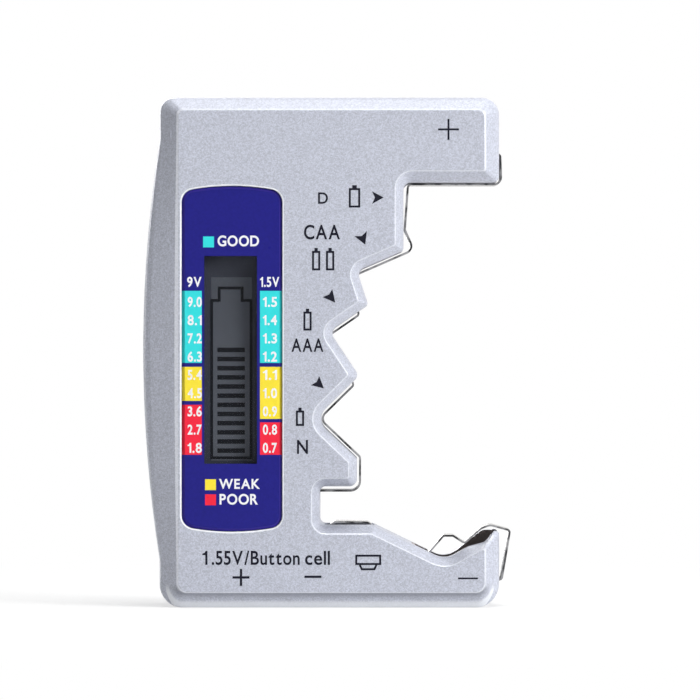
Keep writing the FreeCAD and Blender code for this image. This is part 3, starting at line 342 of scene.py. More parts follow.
class Finish:
    """A material: one Principled surface, and the nodes that vary it."""

    def __init__(self, name):
        self.material = bpy.data.materials.new(name)
        self.material.use_nodes = True
        self.tree = self.material.node_tree
        self.surface = self.tree.nodes["Principled BSDF"]

    def node(self, kind, settings=None, inputs=None, output=0):
        """Adds a node, sets it, then fills its sockets with numbers, colours or links."""
        made = self.tree.nodes.new(kind)
        for name, value in (settings or {}).items():
            setattr(made, name, value)
        for name, value in (inputs or {}).items():
            self.feed(made.inputs[name], value)
        return Value(self, made.outputs[output])

    def feed(self, socket, value):
        """Links a value to a socket, or sets the socket to a number, colour or vector."""
        if isinstance(value, Value):
            self.tree.links.new(value.socket, socket)
        elif isinstance(value, tuple) and len(socket.default_value) == 4:
            socket.default_value = (*value, 1.0)
        else:
            socket.default_value = value

    def set(self, **inputs):
        """Fills sockets of the surface, named with underscores for spaces."""
        for name, value in inputs.items():
            self.feed(self.surface.inputs[name.replace("_", " ")], value)
        return self.material

    def place(self):
        """Object coordinates, in metres."""
        return self.node("ShaderNodeTexCoord", output="Object")

    def axes(self):
        """The three Object coordinates as values, in millimetres."""
        split = self.node("ShaderNodeSeparateXYZ", inputs={"Vector": self.place()})
        outputs = split.socket.node.outputs
        return [Value(self, outputs[axis]) * (1 / MM) for axis in "XYZ"]

    def scaled_place(self, per_mm, stretch):
        """Object coordinates in counts per millimetre, stretched along the axes."""
        size = tuple(per_mm * s / MM for s in stretch)
        return self.node("ShaderNodeVectorMath", {"operation": "MULTIPLY"}, {0: self.place(), 1: size})

    def noise(self, per_mm, detail=2.0, stretch=(1.0, 1.0, 1.0)):
        """Noise with about per_mm features to the millimetre, stretched along the axes."""
        inputs = {"Vector": self.scaled_place(per_mm, stretch), "Scale": 1.0, "Detail": detail}
        return self.node("ShaderNodeTexNoise", inputs=inputs)

    def cells(self, per_mm):
        """A random value for each cell, with about per_mm cells to the millimetre."""
        inputs = {"Vector": self.scaled_place(per_mm, (1.0, 1.0, 1.0)), "Scale": 1.0}
        voronoi = self.node("ShaderNodeTexVoronoi", inputs=inputs, output="Color")
        return self.node("ShaderNodeSeparateColor", inputs={"Color": voronoi})

    def mix(self, share, first, second):
        """Colour that goes from first to second as share goes from 0 to 1."""
        inputs = {"Factor": share, 6: first, 7: second}
        return self.node("ShaderNodeMix", {"data_type": "RGBA"}, inputs, output=2)

    def ramp(self, value, low, high, low_out=0.0, high_out=1.0):
        """Value stretched so that low to high becomes low_out to high_out, and held there."""
        inputs = {"Value": value, 1: low, 2: high, 3: low_out, 4: high_out}
        return self.node("ShaderNodeMapRange", {"interpolation_type": "SMOOTHSTEP"}, inputs)

    def bump(self, height, distance, strength, normal=None):
        """Normal of a surface whose relief is height times distance."""
        inputs = {"Height": height, "Distance": distance, "Strength": strength}
        if normal:
            inputs["Normal"] = normal
        return self.node("ShaderNodeBump", inputs=inputs)

    def facing(self, axis):
        """Size of the surface normal's part along one axis."""
        normal = self.node("ShaderNodeNewGeometry", output="Normal")
        split = self.node("ShaderNodeSeparateXYZ", inputs={"Vector": normal})
        return Value(self, split.socket.node.outputs[axis]).absolute()

    def within(self, x, z, left, right, low, high):
        """1 inside a rectangle of the face, 0 outside."""
        return (x > left) * (x < right) * (z > low) * (z < high)


def shade(colour, share):
    """A colour made darker or lighter."""
    return tuple(min(1.0, c * share) for c in colour)


def silver_paint():
    """Metallic paint: flakes, soft cloudiness, painted highlights along the flat faces' edges,
    and bare plastic in the spring's well, dark enough to paint the shade there too.

    Along the lower rim it carries painted shade in the crease and a painted highlight at the lip.
    """
    f = Finish("silver_paint")
    x, y, z = f.axes()
    flake = f.cells(per_mm=5.2)
    grain = f.noise(per_mm=3.0, detail=3.0)
    cloud = f.noise(per_mm=0.05)
    tone = flake * PAINT_SHARES[0] + grain * PAINT_SHARES[1] + cloud * PAINT_SHARES[2]
    paint = f.mix(tone, shade(SILVER, PAINT_RANGE[0]), shade(SILVER, PAINT_RANGE[1]))
    # Painted highlight: a pale line along the edges of the front and back faces
    from_face = y.absolute() + FACE_Y / MM
    edge = (from_face < -EDGE_HIGHLIGHT_DEPTHS[0]) * (from_face > -EDGE_HIGHLIGHT_DEPTHS[1])
    paint = f.mix(edge * (EDGE_HIGHLIGHT_LEAST + EDGE_HIGHLIGHT_GRAIN * grain), paint, SILVER_HIGHLIGHT)
    # Painted shade in the lower rim's crease, and a painted highlight towards its lip
    depth = y - FACE_Y / MM
    foot = f.ramp(z, *RIM_SHADING_FADE, 1.0, 0.0) * (depth > RIM_SHADE_DEPTHS[0]) * (depth < RIM_SHADING_BACK)
    paint = f.mix(foot * f.ramp(depth, *RIM_SHADE_DEPTHS, RIM_SHADING_SHARE, 0.0), paint, SILVER_SHADE)
    paint = f.mix(foot * f.ramp(depth, *RIM_HIGHLIGHT_DEPTHS, 0.0, RIM_SHADING_SHARE), paint, SILVER_HIGHLIGHT)
    # Bare plastic in the spring's well, dark enough to paint the shade there too
    inside = (y.absolute() < WELL_HALF) * f.within(x, z, *WELL)
    dapple = f.noise(per_mm=0.7, detail=3.0)
    bare_and_shade = f.mix(dapple, shade(BARE_PLASTIC_AND_SHADE, BARE_RANGE[0]), shade(BARE_PLASTIC_AND_SHADE, BARE_RANGE[1]))
    return f.set(
        Base_Color=f.mix(inside, paint, bare_and_shade),
        Metallic=0.06 * (1 - inside),
        Roughness=0.38 + 0.10 * grain - 0.06 * flake,
        Coat_Weight=0.06 * (1 - inside),
        Coat_Roughness=0.25,
        Normal=f.bump(f.noise(per_mm=6.0), distance=0.012 * MM, strength=0.5),
    )


def panel_blocks():
    """Colour blocks of the panel's print as (columns, rows, colour)."""
    blocks = [
        (COLUMN_LEFT, CYAN_ROWS, PANEL_CYAN),
        (COLUMN_RIGHT, CYAN_ROWS, PANEL_CYAN),
        (COLUMN_LEFT, YELLOW_ROWS_LEFT, PANEL_YELLOW),
        (COLUMN_RIGHT, YELLOW_ROWS_RIGHT, PANEL_YELLOW),
        (COLUMN_LEFT, RED_ROWS_LEFT, PANEL_RED),
        (COLUMN_RIGHT, RED_ROWS_RIGHT, PANEL_RED),
    ]
    half = LEGEND / 2
    legend = ((LEGEND_GOOD, PANEL_CYAN), (LEGEND_WEAK, PANEL_YELLOW), (LEGEND_POOR, PANEL_RED))
    for (x, z), colour in legend:
        blocks.append(((x - half, x + half), (z - half, z + half), colour))
    return blocks


def printed_panel():
    """Printed panel: blue, colour blocks in two columns, legend squares, clear window.

    The print lies flat under a clear cover, so the cover's bevelled edge is lit as the print is,
    and it is tinted a lighter blue there as a painted highlight.
    """
    f = Finish("printed_overlay")
    x, y, z = f.axes()
    ink = f.noise(per_mm=2.2, detail=3.0)
    colour = f.mix(ink, shade(PANEL_BLUE, BLUE_RANGE[0]), shade(PANEL_BLUE, BLUE_RANGE[1]))
    front = OVERLAY_Y / MM
    slope = (y > front + COVER_BEVEL[0]) * (y < front + COVER_BEVEL[1])
    # Painted highlight: the cover's bevelled edge is tinted a lighter blue
    colour = f.mix(slope * COVER_HIGHLIGHT_SHARE, colour, PANEL_EDGE_HIGHLIGHT)
    for columns, rows, tint in panel_blocks():
        mask = f.within(x, z, *columns, *rows) * (BLOCK_COVER + (1 - BLOCK_COVER) * ink)
        colour = f.mix(mask, colour, tint)
    window = f.within(x, z, *WINDOW)
    haze = f.noise(per_mm=0.5, detail=4.0)
    bevelled = f.node("ShaderNodeNewGeometry", output="Normal")
    flat = f.node("ShaderNodeCombineXYZ", inputs={"Y": -1.0})
    inputs = {"Factor": slope, 4: bevelled, 5: flat}
    print_normal = f.node("ShaderNodeMix", {"data_type": "VECTOR"}, inputs, output=1)
    return f.set(
        Base_Color=f.mix(window, colour, LCD_BORDER_AND_SHADE),
        Roughness=0.24 + 0.12 * haze,
        Specular_IOR_Level=0.12,
        Alpha=1 - WINDOW_CLEAR * window,
        Normal=f.bump(haze, distance=0.01 * MM, strength=0.2, normal=print_normal),
    )


def print_ink(name, colour, roughness):
    """Screen-print ink: slightly uneven in tone, with a faint mesh texture."""
    f = Finish(name)
    film = f.noise(per_mm=4.0, detail=3.0)
    return f.set(
        Base_Color=f.mix(film, colour, shade(colour, INK_THIN)),
        Roughness=roughness + 0.15 * film,
        Specular_IOR_Level=0.12,
        Normal=f.bump(f.noise(per_mm=12.0), distance=0.004 * MM, strength=0.4),
    )


def lcd_glass():
    """LCD: grey polariser with fine vertical grain inside a black border, which partly stands in for
    shade.

    The grey darkens towards the top as painted shade.
    """
    f = Finish("lcd_glass")
    x, _, z = f.axes()
    grain = f.noise(per_mm=1.0, stretch=(6.0, 6.0, 0.15))
    grey = f.mix(grain * LCD_GRAIN, shade(LCD_GREY, LCD_RANGE[0]), shade(LCD_GREY, LCD_RANGE[1]))
    # Painted shade: the grey darkens towards the top
    grey = f.mix(f.ramp(z, *LCD_SHADE_FADE, high_out=LCD_SHADE_SHARE), grey, LCD_BORDER_AND_SHADE)
    # Black border round the glass, partly standing in for the shade of the window's edges
    border = f.mix(grain, LCD_BORDER_AND_SHADE, shade(LCD_BORDER_AND_SHADE, LCD_BORDER_LIGHT))
    return f.set(
        Base_Color=f.mix(f.within(x, z, *LCD_GLASS), border, grey),
        Roughness=0.26 + 0.14 * grain,
        Specular_IOR_Level=0.15,
    )


def nickel():
    """Nickel-plated strip: drawn lines along it, bright faces, dull sheared edges.

    Dark and light patches on the sheared edges are painted reflections.
    """
    f = Finish("nickel_strip")
    drawn = f.noise(per_mm=1.0, detail=3.0, stretch=(0.8, 14.0, 0.8))
    spots = f.noise(per_mm=0.7, detail=4.0)
    patches = f.noise(per_mm=0.45)
    sheared = f.facing("Y") > SHEARED_FACING
    bright = f.mix(drawn, NICKEL, NICKEL_DRAWN)
    stain = f.ramp(spots, *NICKEL_SPOTS, high_out=NICKEL_SPOT_SHARE)
    face = f.mix(stain, bright, NICKEL_SPOT)
    # Painted reflections: dark and light patches on the sheared edges
    cut_and_reflection = f.mix(f.ramp(patches, *SHEARED_REFLECTION_PATCHES), SHEARED_DULL_AND_DARK_REFLECTION, SHEARED_LIGHT_REFLECTION)
    return f.set(
        Base_Color=f.mix(sheared, face, cut_and_reflection),
        Metallic=1.0,
        Roughness=0.16 + 0.16 * drawn + 0.16 * sheared,
        Normal=f.bump(drawn, distance=0.01 * MM, strength=0.35),
    )


def moulded(name):
    """Moulded plastic or rubber: fine spark-eroded texture and slight flow marks."""
    colour, roughness, grain = MOULDED[name]
    f = Finish(name)
    texture = f.noise(per_mm=grain, detail=3.0)
    flow = f.noise(per_mm=0.15)
    light = tuple(min(1.0, c * MOULD_GAIN + MOULD_LIFT) for c in colour)
    return f.set(
        Base_Color=f.mix(MOULD_FLOW * texture * flow, colour, light),
        Roughness=roughness + 0.16 * texture,
        Normal=f.bump(texture, distance=0.02 * MM, strength=0.5),
    )


def zebra_rubber():
    """Layered rubber: thin conducting and insulating layers stacked along the strip."""
    f = Finish("zebra_rubber")
    _, _, z = f.axes()
    layer = f.ramp((z * (2 * math.pi / ZEBRA_PITCH)).sine(), -ZEBRA_BLUR, ZEBRA_BLUR)
    colour = f.mix(layer, ZEBRA_BLACK, ZEBRA_GREY)
    return f.set(Base_Color=colour, Roughness=0.55 + 0.2 * f.noise(per_mm=3.0))


def board_laminate():
    """Solder mask over woven laminate, with paler copper tracks showing through."""
    f = Finish("board_laminate")
    x, _, z = f.axes()
    weave = (x * WEAVE).sine() * (z * WEAVE).sine()
    wander = f.noise(per_mm=0.05) * TRACK_WANDER
    track = f.ramp((x * TRACKS + wander).sine(), *TRACK_EDGE)
    mask = f.mix(0.5 + 0.5 * weave, MASK_DARK, MASK_LIGHT)
    return f.set(
        Base_Color=f.mix(track * TRACK_SHARE, mask, TRACK_GREEN),
        Roughness=0.34 + 0.12 * f.noise(per_mm=2.0),
        Coat_Weight=0.25,
        Normal=f.bump(weave * WEAVE_RELIEF + track, distance=0.015 * MM, strength=0.4),
    )


def resistor_lacquer():
    """Beige lacquered body with colour bands, tinned leads at both ends."""
    f = Finish("resistor_lacquer")
    x, _, _ = f.axes()
    low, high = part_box("low_load_resistor")
    off = x - (low.x + high.x) / 2 / MM
    colour = f.mix(f.noise(per_mm=1.5), LACQUER, LACQUER_DARK)
    for place, tint in RESISTOR_BANDS:
        colour = f.mix((off - place).absolute() < BAND_HALF, colour, tint)
    lead = off.absolute() > RESISTOR_HALF
    return f.set(
        Base_Color=f.mix(lead, colour, LEAD_TIN),
        Metallic=lead,
        Roughness=0.34 + 0.10 * f.noise(per_mm=3.0),
    )


def capacitor_can():
    """Drawn aluminium can with faint rings and handling marks."""
    f = Finish("capacitor_can")
    rings = f.noise(per_mm=1.0, stretch=(0.4, 16.0, 0.4))
    return f.set(
        Base_Color=f.mix(rings, CAN_BRIGHT, CAN_DULL),
        Metallic=1.0,
        Roughness=0.24 + 0.2 * f.noise(per_mm=1.4, detail=4.0),
        Normal=f.bump(rings, distance=0.01 * MM, strength=0.3),
    )


def wound_coil():
    """Ferrite drum with enamelled copper turns between its flanges.

    The copper darkens between turns as painted shade.
    """
    f = Finish("wound_coil")
    _, y, _ = f.axes()
    low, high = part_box("boost_inductor")
    turns = (y * (2 * math.pi / TURN_PITCH)).sine()
    wound = (y - (low.y + high.y) / 2 / MM).absolute() < WOUND_HALF * (high.y - low.y) / MM
    # Painted shade: the copper darkens between turns
    copper = f.mix(0.5 + 0.5 * turns, COPPER_SHADE, COPPER)
    ferrite = f.mix(f.noise(per_mm=4.0), FERRITE_DARK, FERRITE)
    return f.set(
        Base_Color=f.mix(wound, ferrite, copper),
        Metallic=0.6 * wound,
        Roughness=0.42 + 0.1 * f.noise(per_mm=2.0),
        Normal=f.bump(turns * wound, distance=0.05 * MM, strength=0.5),
    )


def screw_steel():
    """Zinc-plated steel, a little yellow and scuffed."""
    f = Finish("screw_steel")
    scuffs = f.noise(per_mm=2.5, detail=4.0)
    return f.set(
        Base_Color=f.mix(scuffs, STEEL, STEEL_SCUFFED),
        Metallic=1.0,
        Roughness=0.26 + 0.24 * scuffs,
        Normal=f.bump(scuffs, distance=0.015 * MM, strength=0.4),
    )


def lip_highlight():
    """Edge of the recess, painted near white as a highlight, and a little patchy."""
    f = Finish("panel_lip")
    patchy = f.noise(per_mm=0.8, detail=3.0)
    return f.set(
        # Painted highlight: the lip is near white
        Base_Color=f.mix(f.ramp(patchy, *LIP_HIGHLIGHT_PATCHES), LIP_HIGHLIGHT, SILVER_HIGHLIGHT),
        Roughness=0.30 + 0.15 * patchy,
        Normal=f.bump(f.noise(per_mm=5.0), distance=0.01 * MM, strength=0.3),
    )


def dress(paint):
    """Gives each CAD node its one material."""
    strip = nickel()
    steel = screw_steel()
    zebra = zebra_rubber()
    lacquer = resistor_lacquer()
    black = moulded("black_insulation")
    finishes = {
        "front_shell": paint,
        "rear_shell": paint,
        "display_overlay": printed_panel(),
        "lcd_panel": lcd_glass(),
        "lcd_holder": moulded("black_plastic"),
        "zebra_strip_left": zebra,
        "zebra_strip_right": zebra,
        "circuit_board": board_laminate(),
        "controller_chip": moulded("potting"),
        "low_load_resistor": lacquer,
        "high_load_resistor": lacquer,
        "boost_inductor": wound_coil(),
        "smoothing_capacitor": capacitor_can(),
        "positive_strip": strip,
        "negative_spring": strip,
        "button_leaf": strip,
        "snap_plate_positive": strip,
        "snap_plate_negative": strip,
        "negative_wire": black,
        "button_wire": black,
        "snap_wire_positive": moulded("red_insulation"),
        "snap_wire_negative": black,
        "housing_screws": steel,
        "board_screws": steel,
    }
    for node, material in finishes.items():
        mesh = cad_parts[node].data
        mesh.materials.clear()
        mesh.materials.append(material)


def add_piece(name, points, faces, material):
    """A piece of the housing from points in metres and faces, with its finish and slot."""
    mesh = bpy.data.meshes.new(name)
    mesh.from_pydata(points.tolist(), [], faces)
    mesh.materials.append(material)
    piece = bpy.data.objects.new(name, mesh)
    bpy.context.scene.collection.objects.link(piece)
    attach(piece, HOUSING)
    return piece


def panel_outline():
    """Edge of the panel's recess: straight sides, crowned ends, rounded corners.

    Each corner becomes an arc about a centre on its bisector, one radius from both edges:
    points are the centre plus the radius times (cosine, sine) of evenly spaced angles.
    """
    low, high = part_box("display_overlay")
    middle = (low + high) / 2 / MM
    half = (high.x - low.x) / 2 / MM + PANEL_GAP
    crown = PANEL_CROWN_R * (1 / math.cos(math.atan2(PANEL_RISE, half)) - 1)
    tall = (high.z - low.z) / 2 / MM + PANEL_GAP + crown
    corners = np.array([(-half, PANEL_RISE - tall), (0, -tall), (half, PANEL_RISE - tall),
                        (half, tall - PANEL_RISE), (0, tall), (-half, tall - PANEL_RISE)])
    radii = (PANEL_CORNER_R, PANEL_CROWN_R, PANEL_CORNER_R) * 2
    heads = np.roll(corners, -1, axis=0) - corners
    turns = np.arctan2(heads[:, 1], heads[:, 0])
    arcs = []
    for i, radius in enumerate(radii):
        start, end = turns[i - 1], turns[i]
        half_turn = (end - start) % (2 * math.pi) / 2
        bisector = start + half_turn + math.pi / 2
        reach = radius / math.cos(half_turn)
        centre = corners[i] + reach * np.array([math.cos(bisector), math.sin(bisector)])
        angles = start - math.pi / 2 + np.linspace(0, 2 * half_turn, CORNER_STEPS)
        arcs.append(centre + radius * np.stack([np.cos(angles), np.sin(angles)], axis=1))
    return np.concatenate(arcs) + [middle.x, middle.z]


def panel_lip():
    """Round lip on the edge of the panel's recess: a circle carried along the outline.

    A point is the outline's point, plus its outward normal times (offset plus radius times
    cosine), at a depth of the radius times sine.
    """
    path = panel_outline()
    ahead = np.roll(path, -1, axis=0) - np.roll(path, 1, axis=0)
    outward = np.stack([ahead[:, 1], -ahead[:, 0]], axis=1)
    outward /= np.linalg.norm(outward, axis=1, keepdims=True)
    turn = np.linspace(0, 2 * math.pi, LIP_STEPS, endpoint=False)
    out = LIP_OUT + LIP_R * np.cos(turn)
    flat = path[:, None, :] + outward[:, None, :] * out[None, :, None]
    depth = np.broadcast_to(FACE_Y / MM + LIP_R - LIP_R * np.sin(turn), flat.shape[:2])
    points = np.stack([flat[..., 0], depth, flat[..., 1]], axis=2).reshape(-1, 3) * MM
    count, around = depth.shape
    i, j = np.meshgrid(np.arange(count), np.arange(around), indexing="ij")
    i_next, j_next = (i + 1) % count, (j + 1) % around
    row, row_next = i * around, i_next * around
    faces = np.stack([row + j, row_next + j, row_next + j_next, row + j_next], axis=2)
    faces = faces.reshape(-1, 4).tolist()
    lip = add_piece("panel_lip", points, faces, lip_highlight())
    lip.data.shade_smooth()


def lower_bevel_lines(shares):
    """Level lines of the bevel along the lower edge, at shares of its width, corner to corner.

    A corner's line is an arc: its radius shrinks by the share of its two bevels' mean width, and
    its centre stands one radius inside both edges, moved inwards. Also returns how far each
    point is through its corner, from 0 where the side starts to 1 on the lower edge.
    """
    lines, through = [], []
    for side, radius, bevel in LOWER_CORNERS:
        inwards = math.copysign(1.0, bevel)
        mean = (abs(bevel) + BASE_BEVEL) / 2
        arc = np.maximum(radius - shares * mean, CORNER_LEAST * radius)
        turned = np.linspace(0.0, 1.0, CORNER_STEPS)
        if inwards < 0:
            turned = turned[::-1]
        angle = turned * math.pi / 2
        centre_x = side + shares * bevel + inwards * arc
        centre_z = shares * BASE_BEVEL + arc
        x = centre_x[:, None] - inwards * np.outer(arc, np.cos(angle))
        z = centre_z[:, None] - np.outer(arc, np.sin(angle))
        lines.append(np.stack([x, z]))
        through.append(turned)
    x, z = np.concatenate(lines, axis=2)
    return x, z, np.concatenate(through)


def rim_depths(shares):
    """Depths of the bevel, and of the rim over it, behind the raised face.

    The rim leaves the bevel at the slope of the bevel's straight stretch, a parabola turns it to
    face the front by the lower edge, and a quarter round ends it there.
    """
    bevel = np.interp(shares, BEVEL_SHARES, BEVEL_DEPTHS)
    start = np.interp(RIM_TO, BEVEL_SHARES, BEVEL_DEPTHS)
    outer_share, inner_share = BEVEL_SHARES[2:4]
    outer_depth, inner_depth = BEVEL_DEPTHS[2:4]
    slope = (outer_depth - inner_depth) / (inner_share - outer_share)
    reach = RIM_TO - RIM_FACE
    out = np.minimum(RIM_TO - shares, reach)
    rim = start + slope * (out - out ** 2 / (2 * reach))
    past_round = np.clip(1 - shares * BASE_BEVEL / RIM_EDGE_R, 0.0, 1.0)
    return bevel, rim + RIM_EDGE_R * (1 - np.sqrt(1 - past_round ** 2))


def lower_rim(paint):
    """Rim along the lower edge, fading into the bevel round both corners.

    A section runs out over the front and home behind the bevel. Sections follow each other from
    the left corner to the right, and a strip of faces closes each end.
    """
    shares = np.concatenate([np.linspace(RIM_FROM, RIM_FACE, RIM_EDGE_STEPS, endpoint=False),
                             np.linspace(RIM_FACE, RIM_TO, RIM_COVE_STEPS)])
    x, z, through = lower_bevel_lines(shares)
    bevel, rim = rim_depths(shares)
    fade = through ** 2 * (3 - 2 * through)
    front = bevel[:, None] - np.outer(bevel - rim, fade) + RIM_SUNK
    back = np.broadcast_to(bevel[:, None] + RIM_BACK, front.shape)
    depth = np.concatenate([front, back[::-1]]) + FACE_Y / MM
    points = np.stack([np.concatenate([x, x[::-1]]), depth, np.concatenate([z, z[::-1]])], axis=2)
    around, stations = depth.shape
    i, j = np.meshgrid(np.arange(around), np.arange(stations - 1), indexing="ij")
    row, row_next = i * stations + j, (i + 1) % around * stations + j
    sides = np.stack([row, row + 1, row_next + 1, row_next], axis=2).reshape(-1, 4)
    out = np.arange(len(shares) - 1)
    home = around - 1 - out
    left_end = np.stack([out, out + 1, home - 1, home], axis=1) * stations
    right_end = left_end[:, ::-1] + stations - 1
    faces = np.concatenate([sides, left_end, right_end]).tolist()
    piece = add_piece("lower_rim", points.reshape(-1, 3) * MM, faces, paint)
    piece.data.shade_smooth()
    piece.data.set_sharp_from_angle(angle=RIM_SHARP)


def polygon(corners):
    """One flat face through corners given counter-clockwise."""
    return np.array(corners, float), [tuple(range(len(corners)))]


def rectangle(left, right, low, high):
    """Upright rectangle as one face."""
    return polygon([(left, low), (right, low), (right, high), (left, high)])


def band(path, width, closed=True):
    """Line of even width along a path: each point moves half the width both ways along its mitre.

    The mitre is the sum of the two edge normals over one plus their dot product.
    """
    path = np.array(path, float)
    ahead = np.roll(path, -1, axis=0) - path
    normal = np.stack([-ahead[:, 1], ahead[:, 0]], axis=1)
    normal /= np.linalg.norm(normal, axis=1, keepdims=True)
    before = np.roll(normal, 1, axis=0)
    if not closed:
        before[0] = normal[0]
        normal[-1] = before[-1]
    dot = (before * normal).sum(axis=1, keepdims=True)
    mitre = (before + normal) / (1 + dot) * width / 2
    count = len(path)
    points = np.concatenate([path + mitre, path - mitre])
    first = np.arange(count if closed else count - 1)
    after = (first + 1) % count
    faces = np.stack([first + count, after + count, after, first], axis=1)
    return points, [tuple(face) for face in faces.tolist()]


def joined(shapes):
    """Several flat shapes as one, with their faces numbered on."""
    points, faces = [], []
    start = 0
    for shape_points, shape_faces in shapes:
        points.append(shape_points)
        faces += [tuple(i + start for i in face) for face in shape_faces]
        start += len(shape_points)
    return np.concatenate(points), faces


def letter(character, weight):
    """One letter of the built-in typeface as flat faces, thickened by weight all round.

    Thickening folds slivers over in a few tight corners. Such a sliver runs along an edge the
    same way as a larger face does, so it is left out.
    """
    curve = bpy.data.curves.new("letter", "FONT")
    curve.body = character
    curve.offset = weight
    curve.resolution_u = LETTER_STEPS
    holder = bpy.data.objects.new("letter", curve)
    bpy.context.scene.collection.objects.link(holder)
    bpy.context.view_layer.update()
    evaluated = holder.evaluated_get(bpy.context.evaluated_depsgraph_get())
    mesh = bpy.data.meshes.new_from_object(evaluated)
    points = np.zeros(len(mesh.vertices) * 3)
    mesh.vertices.foreach_get("co", points)
    faces, taken = [], set()
    for face in sorted(mesh.polygons, key=lambda face: -face.area):
        corners = tuple(face.vertices)
        edges = set(zip(corners, corners[1:] + corners[:1]))
        if not edges & taken:
            faces.append(corners)
            taken |= edges
    bpy.data.objects.remove(holder)
    bpy.data.curves.remove(curve)
    bpy.data.meshes.remove(mesh)
    return points.reshape(-1, 3)[:, :2], faces


def figure_one(stem):
    """Figure 1 for a cap height of one: a stem of the given width with a flag to its left."""
    left, right = ONE_RIGHT - stem, ONE_RIGHT
    tip, flag = ONE_FLAG
    under = flag - ONE_ARM * stem
    return polygon([(left, 0), (right, 0), (right, 1), (right - ONE_TOP * stem, 1),
                    (left - ONE_BEND[0], ONE_BEND[1]), (tip, flag), (tip, under), (left, under)])


def word(text, left, right, low, high, weight):
    """Letters set side by side, scaled to reach from left to right and from low to cap height."""
    capital = letter("H", weight)[0]
    foot, cap = capital[:, 1].min(), np.ptp(capital[:, 1])
    stem = np.ptp(letter("l", weight)[0][:, 0]) / cap
    shapes = []
    along = 0.0
    for character in text:
        if character == "1":
            points, faces = figure_one(stem)
        else:
            points, faces = letter(character, weight)
            points = (points - [0.0, foot]) / cap
        points = points + [along - points[:, 0].min(), 0.0]
        along = points[:, 0].max() + LETTER_GAP
        shapes.append((points, faces))
    points, faces = joined(shapes)
    size = np.array([(right - left) / (along - LETTER_GAP), high - low])
    return points * size + [left, low], faces


def printed(name, shapes, surface_y, material):
    """One print: flat shapes in millimetres laid on a surface, given the ink's thickness.

    A shape's (x, z) becomes (x, surface less the ink, z), and Solidify carries it just below
    the surface.
    """
    points, faces = joined(shapes)
    flat = points * MM
    depth = np.full(len(flat), surface_y - INK)
    points = np.stack([flat[:, 0], depth, flat[:, 1]], axis=1)
    piece = add_piece(name, points, faces, material)
    solid = piece.modifiers.new("ink", "SOLIDIFY")
    solid.thickness = 2 * INK
    solid.offset = -1.0


def plus(x, z, size, stroke):
    """Plus sign as a cross of one outline."""
    a, b = stroke / 2, size / 2
    corners = [(-a, -b), (a, -b), (a, -a), (b, -a), (b, a), (a, a), (a, b), (-a, b), (-a, a),
               (-b, a), (-b, -a), (-a, -a)]
    return polygon([(x + dx, z + dz) for dx, dz in corners])


def minus(left, right, z, stroke):
    """Minus sign as a bar."""
    return rectangle(left, right, z - stroke / 2, z + stroke / 2)


def cell_mark(left, right, low, high):
    """Upright cell: its body as an outline, its nub filled."""
    inset = STROKE / 2
    top = high - CELL_NUB_HEIGHT
    body = rectangle(left + inset, right - inset, low + inset, top - inset)[0]
    middle, half = (left + right) / 2, (right - left) * CELL_NUB / 2
    return [band(body, STROKE), rectangle(middle - half, middle + half, top, high)]


def face_marks(ink):
    """Marks that say which cell goes where, printed on the raised face."""
    marks = {"mark_top_plus": [plus(*TOP_PLUS, TOP_STROKE)]}
    for name, seat in SEAT_MARKS.items():
        cells = [shape for cell in seat["cells"] for shape in cell_mark(*cell)]
        marks[name] = [word(*seat["letters"], FACE_WEIGHT), *cells, polygon(seat["arrow"])]
    words = [word(*placed, *BUTTON_ROW, FACE_WEIGHT) for placed in BUTTON_WORDS]
    side_view = [band(BUTTON_CAN, STROKE), band(BUTTON_CAP, STROKE, closed=False)]
    marks["mark_button_cell"] = words + side_view
    marks["mark_nine_volt"] = [
        plus(*TERMINAL_PLUS, TERMINAL_STROKE),
        minus(*TERMINAL_MINUS, TERMINAL_STROKE),
    ]
    marks["mark_spring_minus"] = [minus(*SPRING_MINUS, SPRING_STROKE)]
    for name, shapes in marks.items():
        printed(name, shapes, FACE_Y, ink)


def panel_words(ink):
    """Words and numbers of the display panel."""
    words = [word(*placed, PANEL_WEIGHT) for placed in PANEL_WORDS]
    printed("panel_words", words, OVERLAY_Y, ink)
    scales = (
        ("panel_scale_nine_volt", SCALE_LEFT, SCALE_9V),
        ("panel_scale_cell", SCALE_RIGHT, SCALE_1V5),
    )
    for name, sides, texts in scales:
        rows = [SCALE_TOP_Z - SCALE_STEP * i for i in range(len(texts))]
        shapes = [word(text, *sides, z - SCALE_HALF, z + SCALE_HALF, PANEL_WEIGHT)
                  for text, z in zip(texts, rows)]
        printed(name, shapes, OVERLAY_Y, ink)


def lcd_segments(ink):
    """Dark LCD segments: a cell's outline and the stack of level bars in it."""
    left, right, low, shoulder = LCD_BODY
    nub_left, nub_right, top = LCD_NUB
    path = [(left, low), (right, low), (right, shoulder), (nub_right, shoulder), (nub_right, top),
            (nub_left, top), (nub_left, shoulder), (left, shoulder)]
    printed("lcd_cell_outline", [band(path, LCD_LINE)], LCD_Y, ink)
    half = LCD_BAR_HEIGHT / 2
    heights = [LCD_BAR_TOP_Z - LCD_BAR_STEP * i for i in range(LCD_BARS)]
    bars = [rectangle(*LCD_BAR, z - half, z + half) for z in heights]
    printed("lcd_level_bars", bars, LCD_Y, ink)


def seen_ray(tree):
    """Socket that is 1 where the eye, a mirror or a clear surface looks, 0 for other light."""
    path = tree.nodes.new("ShaderNodeLightPath")
    total = path.outputs["Is Camera Ray"]
    for ray in ("Is Glossy Ray", "Is Transmission Ray"):
        either = tree.nodes.new("ShaderNodeMath")
        either.operation = "MAXIMUM"
        tree.links.new(total, either.inputs[0])
        tree.links.new(path.outputs[ray], either.inputs[1])
        total = either.outputs[0]
    return total


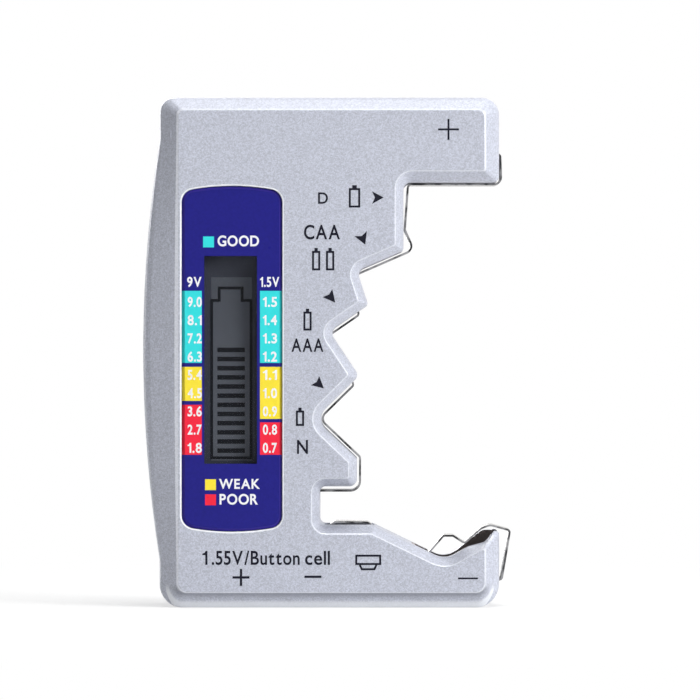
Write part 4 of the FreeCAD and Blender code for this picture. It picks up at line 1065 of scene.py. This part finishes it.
def make_world():
    """White to the eye and in reflections, a soft grey light on everything else."""
    world = bpy.data.worlds.new("studio")
    bpy.context.scene.world = world
    world.use_nodes = True
    tree = world.node_tree
    level = tree.nodes.new("ShaderNodeMapRange")
    level.inputs["To Min"].default_value = WORLD_LEVEL
    level.inputs["To Max"].default_value = 1.0
    tree.links.new(seen_ray(tree), level.inputs["Value"])
    back = tree.nodes["Background"]
    back.inputs["Color"].default_value = (*WHITE, 1.0)
    tree.links.new(level.outputs[0], back.inputs["Strength"])


def make_floor():
    """Pale floor that shows the shadow close to the object and is plain white further off."""
    half = FLOOR_HALF
    z = cad_low.z - INK
    mesh = bpy.data.meshes.new("floor")
    corners = [(-half, -half, z), (half, -half, z), (half, half, z), (-half, half, z)]
    mesh.from_pydata(corners, [], [(0, 1, 2, 3)])
    floor = bpy.data.objects.new("floor", mesh)
    bpy.context.scene.collection.objects.link(floor)
    f = Finish("floor")
    seen = Value(f, seen_ray(f.tree))
    f.set(Base_Color=f.mix(seen, FLOOR_BOUNCE, FLOOR_SEEN), Roughness=0.9, Specular_IOR_Level=0.0)
    distance = f.node("ShaderNodeVectorMath", {"operation": "LENGTH"}, {0: f.place()}, output="Value")
    plain = f.ramp(distance, *FLOOR_SHADE, low_out=FLOOR_NEAR)
    white = f.node("ShaderNodeEmission", inputs={"Color": WHITE, "Strength": 1.0})
    inputs = {"Fac": plain * seen, 1: Value(f, f.surface.outputs[0]), 2: white}
    surface = f.node("ShaderNodeMixShader", inputs=inputs)
    f.feed(f.tree.nodes["Material Output"].inputs["Surface"], surface)
    mesh.materials.append(f.material)


def make_lamp(name, direction, distance, size, level):
    """Soft square lamp that lights a facing white surface to the given level.

    A lamp of power P lights a surface at distance d to P / (pi * pi * d * d).
    """
    lamp = bpy.data.lights.new(name, "AREA")
    lamp.size = size
    lamp.energy = level * (math.pi * distance) ** 2
    holder = bpy.data.objects.new(name, lamp)
    back = Vector(direction).normalized()
    holder.location = (cad_low + cad_high) / 2 + back * distance
    holder.rotation_euler = back.to_track_quat("Z", "Y").to_euler()
    bpy.context.scene.collection.objects.link(holder)


def make_camera():
    """Camera that looks straight at the raised face."""
    data = bpy.data.cameras.new("camera")
    data.sensor_width = SENSOR
    data.lens = SENSOR * CAMERA_DISTANCE / PICTURE_WIDTH
    camera = bpy.data.objects.new("camera", data)
    camera.location = (PICTURE_MIDDLE[0], FACE_Y - CAMERA_DISTANCE, PICTURE_MIDDLE[1])
    camera.rotation_euler = (math.pi / 2, 0.0, 0.0)
    bpy.context.scene.collection.objects.link(camera)
    bpy.context.scene.camera = camera


def main():
    """Builds the whole picture round the CAD."""
    make_camera()
    paint = silver_paint()
    dress(paint)
    panel_lip()
    lower_rim(paint)
    face_marks(print_ink("face_ink", PRINT_BLACK, roughness=0.45))
    panel_words(print_ink("panel_white", PRINT_WHITE, roughness=0.35))
    lcd_segments(print_ink("lcd_ink", LCD_INK, roughness=0.30))
    make_world()
    make_floor()
    make_lamp("top_lamp", *TOP_LAMP)
    make_lamp("front_lamp", *FRONT_LAMP)
    make_lamp("back_lamp", *BACK_LAMP)
    bpy.context.scene.view_settings.view_transform = "Standard"


main()
